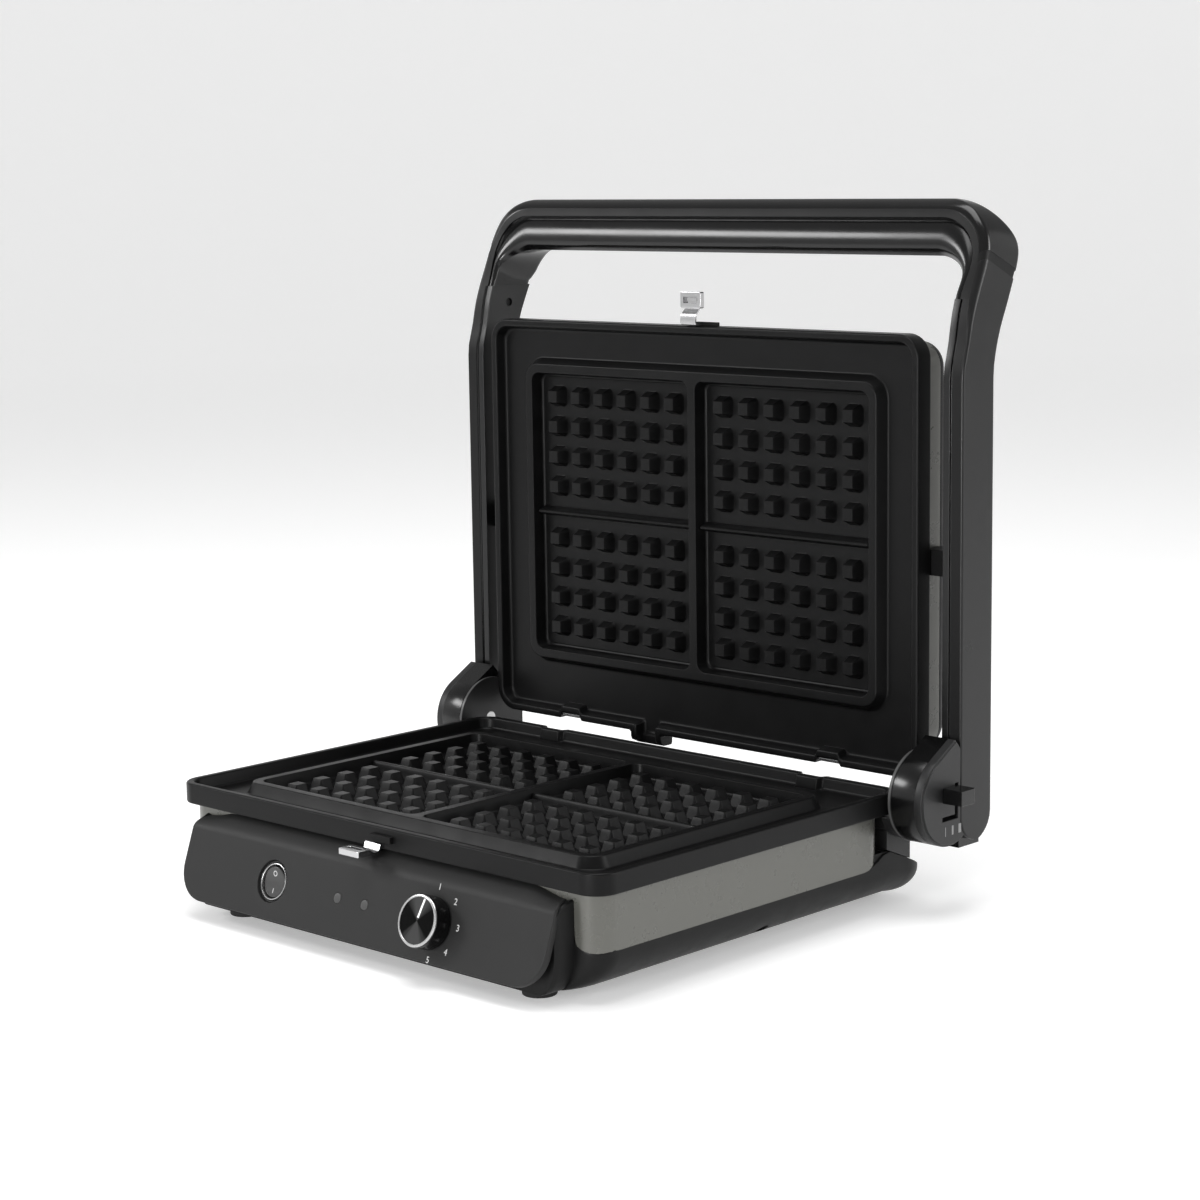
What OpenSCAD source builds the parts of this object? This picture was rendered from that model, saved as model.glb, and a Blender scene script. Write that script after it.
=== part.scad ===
/* [Cooking plates] */
// Width of a cooking plate, left to right
plate_w = 290.8; // [289:0.2:292]
// Depth of a cooking plate, front to back
plate_d = 216.5; // [215:0.1:216.8]
// Height of the plate's side wall
plate_h = 10.3; // [9.5:0.1:10.3]
// Width of the flat rim round a plate
rim_t = 3.5; // [2.5:0.1:5]
// Pitch of the pegs, left to right
peg_px = 16.8; // [16:0.1:17]
// Pitch of the pegs, front to back
peg_py = 16.2; // [15.5:0.1:16.4]
// Pegs across one waffle pocket
pegs_x = 6; // [4:1:6]
// Pegs along one waffle pocket
pegs_y = 4; // [3:1:4]
// Height of a peg above the pocket floor
peg_h = 5.9; // [4:0.1:6]
// Width of a peg's square top
peg_top = 6.1; // [5:0.1:7]

/* [Housings] */
// Width of the grey shells
shell_w = 282.6; // [280:0.2:284]
// Wall thickness of the shells and the tub
wall = 2; // [1.6:0.1:2.4]
// Depth of the lower grey shell
shell_h = 25.2; // [22:0.2:25.2]
// Rounding along the lower edge of the grey shell
shell_r = 8; // [5:0.5:9]
// Depth of the grey band round the upper housing
upper_band = 13.3; // [11:0.1:14]
// Depth of the black cover on the upper housing
cover_h = 7; // [6:0.1:7]

/* [Console] */
// Half width of the control panel
panel_x = 125.2; // [120:0.2:126]
// Thickness of the control panel
panel_t = 2.6; // [2:0.1:3]
// Lean of the control panel from upright, degrees
lean = 19.4; // [19:0.1:20]
// Radius of the thermostat knob
knob_r = 12.3; // [11:0.1:13]
// Height of the thermostat knob
knob_h = 10.5; // [8:0.5:11]
// Radius of the recess round the rocker switch
well_r = 10.3; // [9.6:0.1:11]

/* [Handle] */
// Half width of the handle frame over its legs
arm_x = 168.5; // [167:0.5:170]
// Thickness of a leg, side to side
leg_t = 12; // [10:0.5:12]
// Radius of the handle's outer corners
corner_r = 28; // [22:1:34]
// Radius of the hinge drums
drum_r = 22.8; // [21:0.1:23]
// Radius of the hinge pins
pin_r = 3.5; // [3:0.1:4]
// Radius of the pins that the upper housing tilts on
float_r = 4; // [3:0.1:4.5]
// Radial running clearance of pins in their bores
fit = 0.05; // [0.02:0.01:0.1]

/* [Hidden] */
$fn = 96;

// heights are measured from the tops of the lower plate's pegs; the feet stand at -stand_z
stand_z = 60;
shift_x = -5.8;
shift_y = -21.43;
// hinge axis, parallel to X
hy = 118.4;
hz = -0.9;
// tilt axis of the upper housing
fy = 139.3;
fz = 110.8;
// where the upper plate's peg field stands when the lid is upright
up_y = 123.9;
up_z = 117.46;

rim_top = 2;
plate_z0 = rim_top - plate_h;
plate_y = 4.45;
trough_z = -4.3;
ring_top = 1.45;
block_x = 119.4;
block_y = 80;
ring_w = 4.4;
floor_z = -peg_h;
gap_x = 33.74 / 2;
gap_y = 28.25 / 2;
shell_y = 1.4;
shell_d = 202.2;
shell_z0 = plate_z0 - shell_h;
element_r = 3.2;
element_z = plate_z0 - element_r;
sheet_z = plate_z0 - 8.7;
notch_x = 89.5;
base_z = -55;
foot_x = 102;
foot_y = [-97, 135];
panel_y = -115.89;
panel_z = -32.4;
switch_x = -58.5;
lamp_x = [-11.4, 7.4];
knob_x = 53.3;
in_x = arm_x - leg_t;
trim_x = in_x + 4;
trim_top = 238;
screw_at = [147.6, 228.7];
bar_z = [257.5, 284.8];

// ---- shared shapes ----

module placed() translate([shift_x, shift_y, stand_z]) children();

// rounded rectangle, centred
module rr2(w, d, r) {
  square([w - 2 * r, d], center = true);
  square([w, d - 2 * r], center = true);
  for (x = [-1, 1], y = [-1, 1]) translate([x * (w / 2 - r), y * (d / 2 - r)]) circle(r);
}

module rr(w, d, h, r) linear_extrude(h) rr2(w, d, r);

// a section of width w and height h whose two lower corners are rounded
module cup2(w, h, r) {
  translate([-w / 2, r]) square([w, h - r]);
  translate([r - w / 2, 0]) square([w - 2 * r, h]);
  for (x = [-1, 1]) translate([x * (w / 2 - r), r]) circle(r);
}

// a rounded block whose lower edges are rounded too
module soft_block(w, d, h, rv, rb) {
  intersection() {
    rr(w, d, h, rv);
    rotate([90, 0, 0]) linear_extrude(d + 2, center = true) cup2(w, h, rb);
    rotate([90, 0, 90]) linear_extrude(w + 2, center = true) cup2(d, h, rb);
  }
}

// a prism along X from a section drawn in Y and Z
module along_x(x0, x1) translate([x0, 0, 0]) rotate([90, 0, 90]) linear_extrude(x1 - x0) children();

// a prism along Y from a section drawn in X and Z
module along_y(y0, y1) translate([0, y1, 0]) rotate([90, 0, 0]) linear_extrude(y1 - y0) children();

module cyl_x(r, x0, x1, y, z) translate([x0, y, z]) rotate([0, 90, 0]) cylinder(r = r, h = x1 - x0);

module box(x, y, z) translate([x[0], y[0], z[0]]) cube([x[1] - x[0], y[1] - y[0], z[1] - z[0]]);

// the control panel's plane: local Z leaves the panel, local Y climbs it
module on_panel(x, up = 0) translate([x, panel_y, panel_z]) rotate([90 - lean, 0, 0])
  translate([0, up, 0]) children();

// the upper plate and housing, drawn like the lower ones and stood on edge
module stood_up() translate([0, up_y, up_z]) rotate([90, 0, 0]) mirror([0, 1, 0]) children();

// both sides of the object
module both() {
  children();
  mirror([1, 0, 0]) children();
}

// ---- cooking plate ----

function peg_at(n, gap, pitch) = [for (s = [-1, 1], i = [0:n - 1]) s * (gap + i * pitch)];

module ridges2(at, top, spread) for (c = at)
  translate([c, 0]) polygon([[-top / 2 - spread, floor_z], [-top / 2, 0], [top / 2, 0],
    [top / 2 + spread, floor_z], [top / 2 + spread, floor_z - 0.6], [-top / 2 - spread, floor_z - 0.6]]);

module pegs() intersection() {
  along_y(-76, 76) ridges2(peg_at(pegs_x, gap_x, peg_px), peg_top, 2.5);
  along_x(-116, 116) ridges2(peg_at(pegs_y, gap_y, peg_py), peg_top + 0.3, 2.5);
}

// the raised ring that bounds the waffles, with walls that slope outwards
module waffle_block() intersection() {
  h = ring_top - trough_z;
  along_y(-90, 90) polygon([[-block_x - 2.8, trough_z - 1], [-block_x - 2.8, trough_z],
    [-block_x, ring_top], [block_x, ring_top], [block_x + 2.8, trough_z], [block_x + 2.8, trough_z - 1]]);
  along_x(-130, 130) polygon([[-block_y - 2.8, trough_z - 1], [-block_y - 2.8, trough_z],
    [-block_y, ring_top], [block_y, ring_top], [block_y + 2.8, trough_z], [block_y + 2.8, trough_z - 1]]);
  translate([0, 0, trough_z - 1]) rr(2 * block_x + 5.2, 2 * block_y + 5.2, h + 2, 9);
}

module cooking_plate(spout = false) {
  pocket_w = block_x - ring_w - 2.4;
  difference() {
    union() {
      difference() {
        translate([0, plate_y, plate_z0]) rr(plate_w, plate_d, plate_h, 12);
        translate([0, plate_y, trough_z])
          rr(plate_w - 2 * rim_t, plate_d - 2 * rim_t, 20, 12 - rim_t);
      }
      waffle_block();
      if (spout) box([-45, -23.5], [plate_y + plate_d / 2 - 2, 119.4], [-6.5, rim_top]);
    }
    for (s = [-1, 1]) translate([s * (2.4 + pocket_w / 2), 0, floor_z])
      rr(pocket_w, 2 * (block_y - ring_w), 20, 5);
    for (s = [-1, 1]) box([s * notch_x - 9, s * notch_x + 9], [109.4, 120], [-20, 20]);
    if (spout) box([-41.5, -27], [100, 116.6], [trough_z, 20]);
    if (spout) box([-41.5, -27], [112, 120], [-2.6, 20]);
  }
  for (s = [-1, 1]) box([s * (2.4 + pocket_w / 2) - pocket_w / 2 - 0.2,
    s * (2.4 + pocket_w / 2) + pocket_w / 2 + 0.2], [-1.7, 1.7], [floor_z - 0.5, ring_top - 2]);
  pegs();
}

// spring clips that the plate's rear edge tucks under
module hooks() for (s = [-1, 1]) translate([s * notch_x, 0, 0]) {
  box([-7, 7], [shell_y + shell_d / 2, 111.4], [-10.5, -9.5]);
  box([-7, 7], [110.4, 111.4], [-10.5, 1]);
  box([-7, 7], [109.8, 111.4], [0, 1]);
}

// closed loop of tube under a plate, with two cold ends at the back
module element() {
  w = 180;
  d = 110;
  r = 30;
  for (s = [-1, 1]) {
    translate([s * w / 2, 0, element_z]) rotate([90, 0, 0])
      cylinder(r = element_r, h = d - 2 * r, center = true);
    translate([0, s * d / 2, element_z]) rotate([0, 90, 0])
      cylinder(r = element_r, h = w - 2 * r, center = true);
    for (t = [-1, 1]) translate([s * (w / 2 - r), t * (d / 2 - r), element_z])
      rotate([0, 0, s > 0 ? (t > 0 ? 0 : 270) : (t > 0 ? 90 : 180)])
        rotate_extrude(angle = 90) translate([r, 0]) circle(element_r);
    translate([s * 20, d / 2, element_z]) rotate([-90, 0, 0]) cylinder(r = element_r, h = 34);
  }
}

module reflector() difference() {
  translate([0, shell_y, sheet_z]) rr(262, 184, 4, 10);
  translate([0, shell_y, sheet_z + 0.8]) rr(260.4, 182.4, 4, 9.2);
}

module posts(z0) for (x = [-100, 100], y = [-70, 72]) translate([x, y, z0])
  cylinder(r = 4, h = sheet_z - z0);

// clasp: a small box with a slot, on a bent neck that springs out of the plate's front edge
module clasp(w) {
  v = -(plate_d / 2 - plate_y);
  difference() {
    box([-3.4, 10.3], [-121.4, -113], [w, w + 5.4]);
    box([0, 8], [-118.8, -115.6], [w + 1, w + 9]);
  }
  box([-1.6, 8.4], [-113.2, -108.6], [w + 0.8, w + 1.8]);
  box([-1.6, 8.4], [-109.6, -108.6], [min(w + 0.8, -6.6), max(w + 1.8, -5.6)]);
  box([-1.6, 8.4], [-109.6, v - 0.6], [-6.6, -5.6]);
  box([-1.8, 10], [v - 1.2, v - 0.3], [-9.7, -5]);
}

module clasp_seat() box([0.7, 14.9], [-105.8, -(plate_d / 2 - plate_y)], [-4.6, -1.4]);

// ---- base ----

// half of the tub's section: the sides swell out from the flat bottom to the grey shell
function flare(o) = concat([for (a = [0:15:90])
  [116 + (25.3 - o) * sin(a), -33.3 + (base_z + 33.3 + o) * cos(a)]], [[141.3 - o, -10]]);

module flare2(o) polygon(concat(flare(o), [for (i = [7:-1:0]) [-flare(o)[i][0], flare(o)[i][1]]]));

// straight front of the console behind the panel
function front_y(z, t) = panel_y + t / cos(lean) - (panel_z - z) * tan(lean);

module tub_solid(o) intersection() {
  along_y(-110, 150) flare2(o);
  translate([0, 20, base_z]) rr(shell_w - 2 * o, 248 - 2 * o, 60, 24 - o);
  along_x(-145, 145) polygon([[-104 + o, base_z + o], [-104 + o, -31 + 10 * o], [100 - 1.2 * o, -31 + 10 * o],
    [100 - 1.2 * o, -25.4 - 1.2 * o], [103, -26.6 - 1.15 * o], [144 - o, -43.5 - o * 0.7], [144 - o, -49.5],
    [142.2 - o, -53.3 + o * 0.7], [137.5 - o, base_z + o]]);
}

module console_solid(o) along_x(-123.4 + o, 123.4 - o) polygon([[-95, base_z + o], [-112.6, base_z + o],
  [-116.6, -54 + o], [front_y(-51.2, panel_t + 0.1 + o) + 0.3, -51.2 + 0.4 * o],
  [front_y(-19, panel_t + 0.1 + o), -19], [-105.4 + o / 2, -15.4 - o], [-95, -15.4 - o]]);

// half drum that carries a hinge, with a cheek that holds the pin
module hinge_bracket() color([0.08, 0.08, 0.08]) difference() {
  union() {
    intersection() {
      cyl_x(22, 125, 148, hy, hz);
      union() {
        box([125, 141.8], [shell_y + shell_d / 2 + 0.3, hy + 4.6], [-30, -10]);
        box([141.7, 148], [90, hy + 4.6], [-30, -10]);
      }
    }
    box([125, 140.5], [104.6, hy + 4.6], [-38, -15]);
    cyl_x(drum_r, 147.7, 149.5, hy, hz);
  }
  tub_solid(0);
  cyl_x(pin_r, 147, 150, hy, hz);
}

module hinge_bracket_left() placed() mirror([1, 0, 0]) hinge_bracket();

module hinge_bracket_right() placed() hinge_bracket();

module bottom_housing() color([0.06, 0.06, 0.06]) placed() difference() {
  union() {
    difference() {
      union() {
        tub_solid(0);
        console_solid(0);
      }
      tub_solid(wall);
      console_solid(wall);
      box([-139, 139], [-100, 97], [base_z + wall, -20]);
    }
    for (x = [-102, 102], y = foot_y) translate([x, y, base_z + 0.5]) cylinder(r = 5, h = 5);
  }
  translate([0, shell_y, shell_z0]) soft_block(shell_w, shell_d, 60, 13, shell_r);
  box([-82, 82], [-125, -104.5], [-47, -21]);
  translate([0, 16, base_z - 1]) rr(180.6, 190.6, 3 + wall, 12.3);
  for (x = [-102, 102], y = foot_y) translate([x, y, base_z - 1]) cylinder(r = 2.6, h = 3.2);
  box([130, 145], [13.4, 23.3], [-50.9, -47.5]);
  translate([62, 150, -49.4]) rotate([90, 0, 0]) cylinder(r = 4, h = 14);
}

module base_cover() color([0.08, 0.08, 0.08]) placed() difference() {
  union() {
    translate([0, 16, base_z]) rr(180, 190, wall, 12);
    translate([0, 16, base_z + wall]) rr(192, 202, 1.6, 14);
  }
  for (x = [-82, 82], y = [-72, 104]) translate([x, y, base_z - 1]) cylinder(r = 2.2, h = 8);
  for (x = [-50:20:50]) translate([x, 16, base_z - 1]) rr(6, 70, 8, 2.9);
}

module base_screws() color([0.6, 0.6, 0.6]) placed() for (x = [-82, 82], y = [-72, 104])
  translate([x, y, base_z - 0.4]) {
    difference() {
      cylinder(r = 3.6, h = 0.4);
      translate([0, 0, -0.1]) cylinder(r = 1.2, h = 0.3, $fn = 6);
    }
    translate([0, 0, 0.4]) cylinder(r = 2.1, h = 8);
  }

module feet() color([0.1, 0.1, 0.1]) placed() for (x = [-foot_x, foot_x], y = foot_y)
  translate([x, y, -stand_z]) {
    cylinder(r = 8, h = 5);
    translate([0, 0, 4]) cylinder(r = 2.6, h = 3);
  }

module control_panel() color([0.26, 0.26, 0.26]) placed() difference() {
  intersection() {
    along_x(-panel_x, panel_x) difference() {
      polygon([[-99.8, -12.5], [-104.4, -12.9], [-107.4, -13.8], [-109.1, -15],
        [front_y(-17.6, 0), -17.6], [front_y(-49.7, 0), -49.7], [-121.6, -52], [-119.6, -53.6],
        [-116.8, -54.3], [-110, -54.6], [-99.8, -54.6]]);
      polygon([[-99, -12.5 - panel_t], [-105.8, -12.6 - panel_t], [front_y(-18.8, panel_t), -18.8],
        [front_y(-51.2, panel_t), -51.2], [-116.6, -54], [-112, -55.5], [-99, -56]]);
    }
    on_panel(0, -0.6) translate([0, 8, -40]) rr(2 * panel_x, 62, 60, 16);
  }
  on_panel(switch_x) translate([0, 0, -20]) cylinder(r = well_r, h = 40);
  for (x = lamp_x) on_panel(x) translate([0, 0, -20]) cylinder(r = 2.5, h = 40);
  on_panel(knob_x, -0.3) translate([0, 0, -20]) cylinder(r = 4, h = 40);
  box([-200, 200], [-99.8, -60], [-60, 0]);
}

module lower_body_shell() color([0.4, 0.4, 0.38]) placed() {
  difference() {
    translate([0, shell_y, shell_z0]) soft_block(shell_w, shell_d, shell_h, 13, shell_r);
    translate([0, shell_y, shell_z0 + wall])
      soft_block(shell_w - 2 * wall, shell_d - 2 * wall, 40, 13 - wall, shell_r - wall);
    for (s = [-1, 1]) translate([s * 20, 92, shell_z0 - 1]) cylinder(r = 5, h = 10);
  }
  posts(shell_z0 + wall);
}

module lower_reflector() color([0.75, 0.75, 0.75]) placed() reflector();

module lower_heating_element() color([0.35, 0.33, 0.3]) placed() element();

module lower_plate() color([0.09, 0.09, 0.09]) placed() cooking_plate();

module lower_plate_hooks() color([0.8, 0.8, 0.8]) placed() hooks();

module lower_latch_seat() color([0.05, 0.05, 0.05]) placed() clasp_seat();

module lower_latch() color([0.85, 0.85, 0.85]) placed() clasp(-11.2);

module switch_body() color([0.1, 0.1, 0.1]) placed() on_panel(switch_x) {
  translate([0, 0, -12]) cylinder(r = 9.8, h = 6.4);
  for (x = [-3, 3]) translate([x, 0, -15]) cylinder(r = 1, h = 3.2);
}

module switch_bezel() color([0.7, 0.7, 0.7]) placed() on_panel(switch_x) difference() {
  union() {
    translate([0, 0, -5.6]) cylinder(r = well_r, h = 3.6);
    translate([0, 0, -2.2]) cylinder(r = 8.75, h = 1);
  }
  translate([0, 0, -6]) cylinder(r = 8.2, h = 8);
}

// the rocker's face is two shallow slopes; it stands tipped to its off side
module rocker_switch() color([0.3, 0.3, 0.3]) placed() on_panel(switch_x) translate([0, 0, -3.4])
  rotate([6, 0, 0]) {
    intersection() {
      translate([0, 0, -1.2]) cylinder(r = 7.4, h = 5);
      along_x(-9, 9) polygon([[-8, -1.2], [8, -1.2], [8, 2.3], [0, 1.5], [-8, 2.3]]);
    }
    cyl_x(0.9, -7.95, 7.95, 0, 0);
  }

module lamp(x) on_panel(x) {
  translate([0, 0, -2.6]) cylinder(r = 2.5, h = 2.8);
  translate([0, 0, -7]) cylinder(r = 3.4, h = 4.4);
}

module power_lamp() color([0.5, 0.5, 0.5]) placed() lamp(lamp_x[0]);

module ready_lamp() color([0.5, 0.5, 0.5]) placed() lamp(lamp_x[1]);

module thermostat_body() color([0.75, 0.75, 0.75]) placed() on_panel(knob_x, -0.3) difference() {
  union() {
    translate([0, 0, -12]) cylinder(r = 9, h = 9.4);
    for (s = [-1, 1]) translate([s * 6, 0, -14.6]) cylinder(r = 1, h = 3);
  }
  translate([0, 0, -10]) cylinder(r = 3 + fit, h = 12);
}

module thermostat_shaft() color([0.7, 0.7, 0.7]) placed() on_panel(knob_x, -0.3)
  translate([0, 0, -9.6]) cylinder(r = 3, h = 16);

module knob() color([0.08, 0.08, 0.08]) placed() on_panel(knob_x, -0.3) difference() {
  union() {
    translate([0, 0, 0.4]) cylinder(r = knob_r, h = knob_h - 1.2);
    translate([0, 0, knob_h - 1]) cylinder(r = knob_r - 0.5, h = 0.6);
  }
  translate([0, 0, -0.1]) cylinder(r = 3, h = 6.5);
  translate([0, 0, knob_h - 1.6]) cylinder(r = knob_r - 1.6, h = 4);
}

module knob_disc() color([0.3, 0.3, 0.3]) placed() on_panel(knob_x, -0.3) difference() {
  translate([0, 0, knob_h - 1.6]) cylinder(r = knob_r - 1.6, h = 1.2);
  rotate([0, 0, -12]) box([-0.5, 0.5], [2.6, 9], [knob_h - 1, knob_h + 1]);
}

module knob_pointer() color([0.95, 0.95, 0.95]) placed() on_panel(knob_x, -0.3)
  rotate([0, 0, -12]) box([-0.5, 0.5], [2.6, 9], [knob_h - 1, knob_h - 0.3]);

module terminal_block() color([0.85, 0.83, 0.76]) placed() difference() {
  box([48, 78], [84, 96], [base_z + wall + 1.6, base_z + wall + 11.6]);
  for (x = [53, 63, 73]) translate([x, 90, -46]) cylinder(r = 2.4, h = 12);
}

module thermal_fuse() color([0.8, 0.8, 0.8]) placed() {
  translate([-40, 20, sheet_z - 4]) rotate([0, 90, 0]) cylinder(r = 2.2, h = 16, center = true);
  box([-44, -36], [17, 23], [sheet_z - 2.6, sheet_z]);
}

module cord_gland() color([0.05, 0.05, 0.05]) placed() translate([62, 0, -49.4]) rotate([90, 0, 0])
  difference() {
    union() {
      translate([0, 0, -145.6]) cylinder(r = 4.8, h = 1.6);
      translate([0, 0, -144.2]) cylinder(r = 3.9, h = 8);
    }
    translate([0, 0, -150]) cylinder(r = 2.6, h = 20);
  }

// ---- hinges and handle ----

module hinge_pin() color([0.6, 0.6, 0.6]) cyl_x(pin_r, 147.7, 161.5, hy, hz);

module hinge_pin_left() placed() mirror([1, 0, 0]) hinge_pin();

module hinge_pin_right() placed() hinge_pin();

// a disc drawn out into a point at the top
module teardrop2(r) {
  tip = [122.8 - (drum_r - r) * 0.2, 28 - (drum_r - r)];
  d = norm([tip[0] - hy, tip[1] - hz]);
  dir = atan2(tip[1] - hz, tip[0] - hy);
  half = acos(r / d);
  translate([hy, hz]) circle(r);
  polygon([tip, [hy + r * cos(dir + half), hz + r * sin(dir + half)], [hy, hz],
    [hy + r * cos(dir - half), hz + r * sin(dir - half)]]);
}

// the straight lower part of a leg, rounded at its foot
module leg_foot2(g) {
  translate([126.2 + 13.1, -24 + 13.1]) circle(13.1 + g);
  translate([126.2 - g, -24 + 13.1]) square([26.2 + 2 * g, 100]);
}

module hinge_drum() color([0.03, 0.03, 0.03]) difference() {
  union() {
    along_x(149.8, 163.2) teardrop2(drum_r);
    box([150.4, 163.2], [132, 148.5], [-27.9, -20.5]);
    box([150.4, 163.2], [125, 134], [-24, -18]);
  }
  along_x(in_x, 180) leg_foot2(0);
  cyl_x(pin_r + fit, 140, 161.8, hy, hz);
}

module hinge_drum_left() placed() mirror([1, 0, 0]) hinge_drum();

module hinge_drum_right() placed() hinge_drum();

module hinge_cap(slot) color([0.1, 0.1, 0.1]) difference() {
  union() {
    along_x(163.2, 167.6) teardrop2(drum_r);
    along_x(167.6, arm_x) teardrop2(drum_r - 1);
  }
  along_x(160, 180) leg_foot2(0.35);
  if (slot) {
    box([163, 170], [121.6, 124.2], [-9.4, 7]);
    box([163, 170], [111.6, 124.2], [-10.6, -8.4]);
  }
}

module hinge_cap_left() placed() mirror([1, 0, 0]) hinge_cap(false);

module hinge_cap_right() placed() hinge_cap(true);

// side view of the handle: straight legs that bend back to the bar
module arm_side2() {
  leg_foot2(0);
  polygon([[126.2, 60], [126.2, 203], [127.3, 208.5], [129.3, 214.8], [131.8, 228.5], [134.6, 238.4],
    [141.9, 255.4], [145, 264.9], [147.2, 276], [149, 281], [151.4, 283.8], [154.4, bar_z[1]],
    [157, bar_z[1]], [160.2, 282.8], [164.4, 277.4], [170.2, 268.6], [172.1, 264], [172.3, 259.2],
    [168.2, 246.7], [163.8, 236.4], [157.9, 223.9], [154.7, 214.5], [152.8, 206], [152.4, 200], [152.4, 60]]);
}

// front view of the handle: a U upside down
module arm_front2(x, top, r) {
  translate([-x, -40]) square([2 * x, 40 + top - r]);
  translate([r - x, -40]) square([2 * (x - r), 40 + top]);
  for (s = [-1, 1]) translate([s * (x - r), top - r]) circle(r);
}

module arm_frame() color([0.03, 0.03, 0.03]) placed() difference() {
  intersection() {
    along_x(-arm_x, arm_x) arm_side2();
    along_y(120, 180) difference() {
      arm_front2(arm_x, bar_z[1], corner_r);
      arm_front2(in_x, bar_z[0], 18);
    }
  }
  both() box([in_x - 1, trim_x], [120, 175], [-40, trim_top]);
  cyl_x(9, -142, 142, 150.4, 269);
  both() cyl_x(float_r, in_x - 1, 166, fy, fz);
  both() cyl_x(2.3, in_x - 1, 162, screw_at[0], screw_at[1]);
}

module arm_trim() color([0.05, 0.05, 0.05]) difference() {
  intersection() {
    along_x(in_x, trim_x) arm_side2();
    box([in_x, trim_x], [120, 175], [-40, trim_top]);
  }
  cyl_x(2.3, in_x - 1, 166, screw_at[0], screw_at[1]);
  cyl_x(float_r, in_x - 1, 166, fy, fz);
}

module arm_trim_left() placed() mirror([1, 0, 0]) arm_trim();

module arm_trim_right() placed() arm_trim();

module handle_grip() color([0.05, 0.05, 0.05]) placed() cyl_x(9, -142, 142, 150.4, 269);

module arm_screws() color([0.5, 0.5, 0.5]) placed() both()
  cyl_x(2.3, in_x + 1.2, 162, screw_at[0], screw_at[1]);

module float_pin() color([0.6, 0.6, 0.6]) cyl_x(float_r, 144, 166, fy, fz);

module float_pin_left() placed() mirror([1, 0, 0]) float_pin();

module float_pin_right() placed() float_pin();

// slide lever in the right cap's slot
module height_lever() color([0.1, 0.1, 0.1]) placed() {
  box([164.2, arm_x + 1], [121.9, 123.9], [-0.8, 5.8]);
  box([arm_x + 0.3, 180.1], [111.2, 121.4], [-1.2, 6.2]);
  box([arm_x + 0.3, 178.6], [121.4, 123.9], [-0.8, 5.8]);
}

// ---- upper housing, drawn like the lower one and stood on edge ----

module upper_body_shell() color([0.4, 0.4, 0.38]) placed() stood_up() difference() {
  translate([0, shell_y, plate_z0 - upper_band]) rr(shell_w, shell_d, upper_band, 13);
  translate([0, shell_y, plate_z0 - upper_band - 1])
    rr(shell_w - 2 * wall, shell_d - 2 * wall, 40, 13 - wall);
}

module upper_cover() color([0.06, 0.06, 0.06]) placed() stood_up() {
  difference() {
    translate([0, shell_y, plate_z0 - upper_band - cover_h])
      soft_block(shell_w - 1, shell_d - 1, cover_h, 12.5, 6);
    translate([0, shell_y, plate_z0 - upper_band - cover_h + wall])
      soft_block(shell_w - 1 - 2 * wall, shell_d - 1 - 2 * wall, 40, 10.5, 4);
    for (x = [-110, 110], y = [-78, 80]) translate([x, y, -60]) cylinder(r = 2, h = 60);
  }
  posts(plate_z0 - upper_band - cover_h + wall);
}

module upper_cover_screws() color([0.5, 0.5, 0.5]) placed() stood_up()
  for (x = [-110, 110], y = [-78, 80]) translate([x, y, plate_z0 - upper_band - cover_h + 0.6])
    cylinder(r = 2, h = 8);

module pivot_blocks() color([0.05, 0.05, 0.05]) placed() both() difference() {
  box([shell_w / 2, in_x - 0.35], [fy - 6.2, fy + 6.2], [fz - 6.35, fz + 6.35]);
  cyl_x(float_r + fit, 130, 160, fy, fz);
}

module upper_reflector() color([0.75, 0.75, 0.75]) placed() stood_up() reflector();

module upper_heating_element() color([0.35, 0.33, 0.3]) placed() stood_up() element();

module upper_plate() color([0.09, 0.09, 0.09]) placed() stood_up() cooking_plate(true);

module upper_plate_hooks() color([0.8, 0.8, 0.8]) placed() stood_up() hooks();

module upper_latch_seat() color([0.05, 0.05, 0.05]) placed() stood_up() clasp_seat();

module upper_latch() color([0.85, 0.85, 0.85]) placed() stood_up() clasp(2.2);

bottom_housing();
hinge_bracket_left();
hinge_bracket_right();
base_cover();
base_screws();
feet();
control_panel();
lower_body_shell();
lower_reflector();
lower_heating_element();
lower_plate();
lower_plate_hooks();
lower_latch_seat();
lower_latch();
switch_body();
switch_bezel();
rocker_switch();
power_lamp();
ready_lamp();
thermostat_body();
thermostat_shaft();
knob();
knob_disc();
knob_pointer();
terminal_block();
thermal_fuse();
cord_gland();
hinge_pin_left();
hinge_pin_right();
hinge_drum_left();
hinge_drum_right();
hinge_cap_left();
hinge_cap_right();
arm_frame();
arm_trim_left();
arm_trim_right();
handle_grip();
arm_screws();
float_pin_left();
float_pin_right();
height_lever();
upper_body_shell();
upper_cover();
upper_cover_screws();
pivot_blocks();
upper_reflector();
upper_heating_element();
upper_plate();
upper_plate_hooks();
upper_latch_seat();
upper_latch();
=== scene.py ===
import math
import bpy
import bmesh
from mathutils import Vector, Matrix


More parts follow.
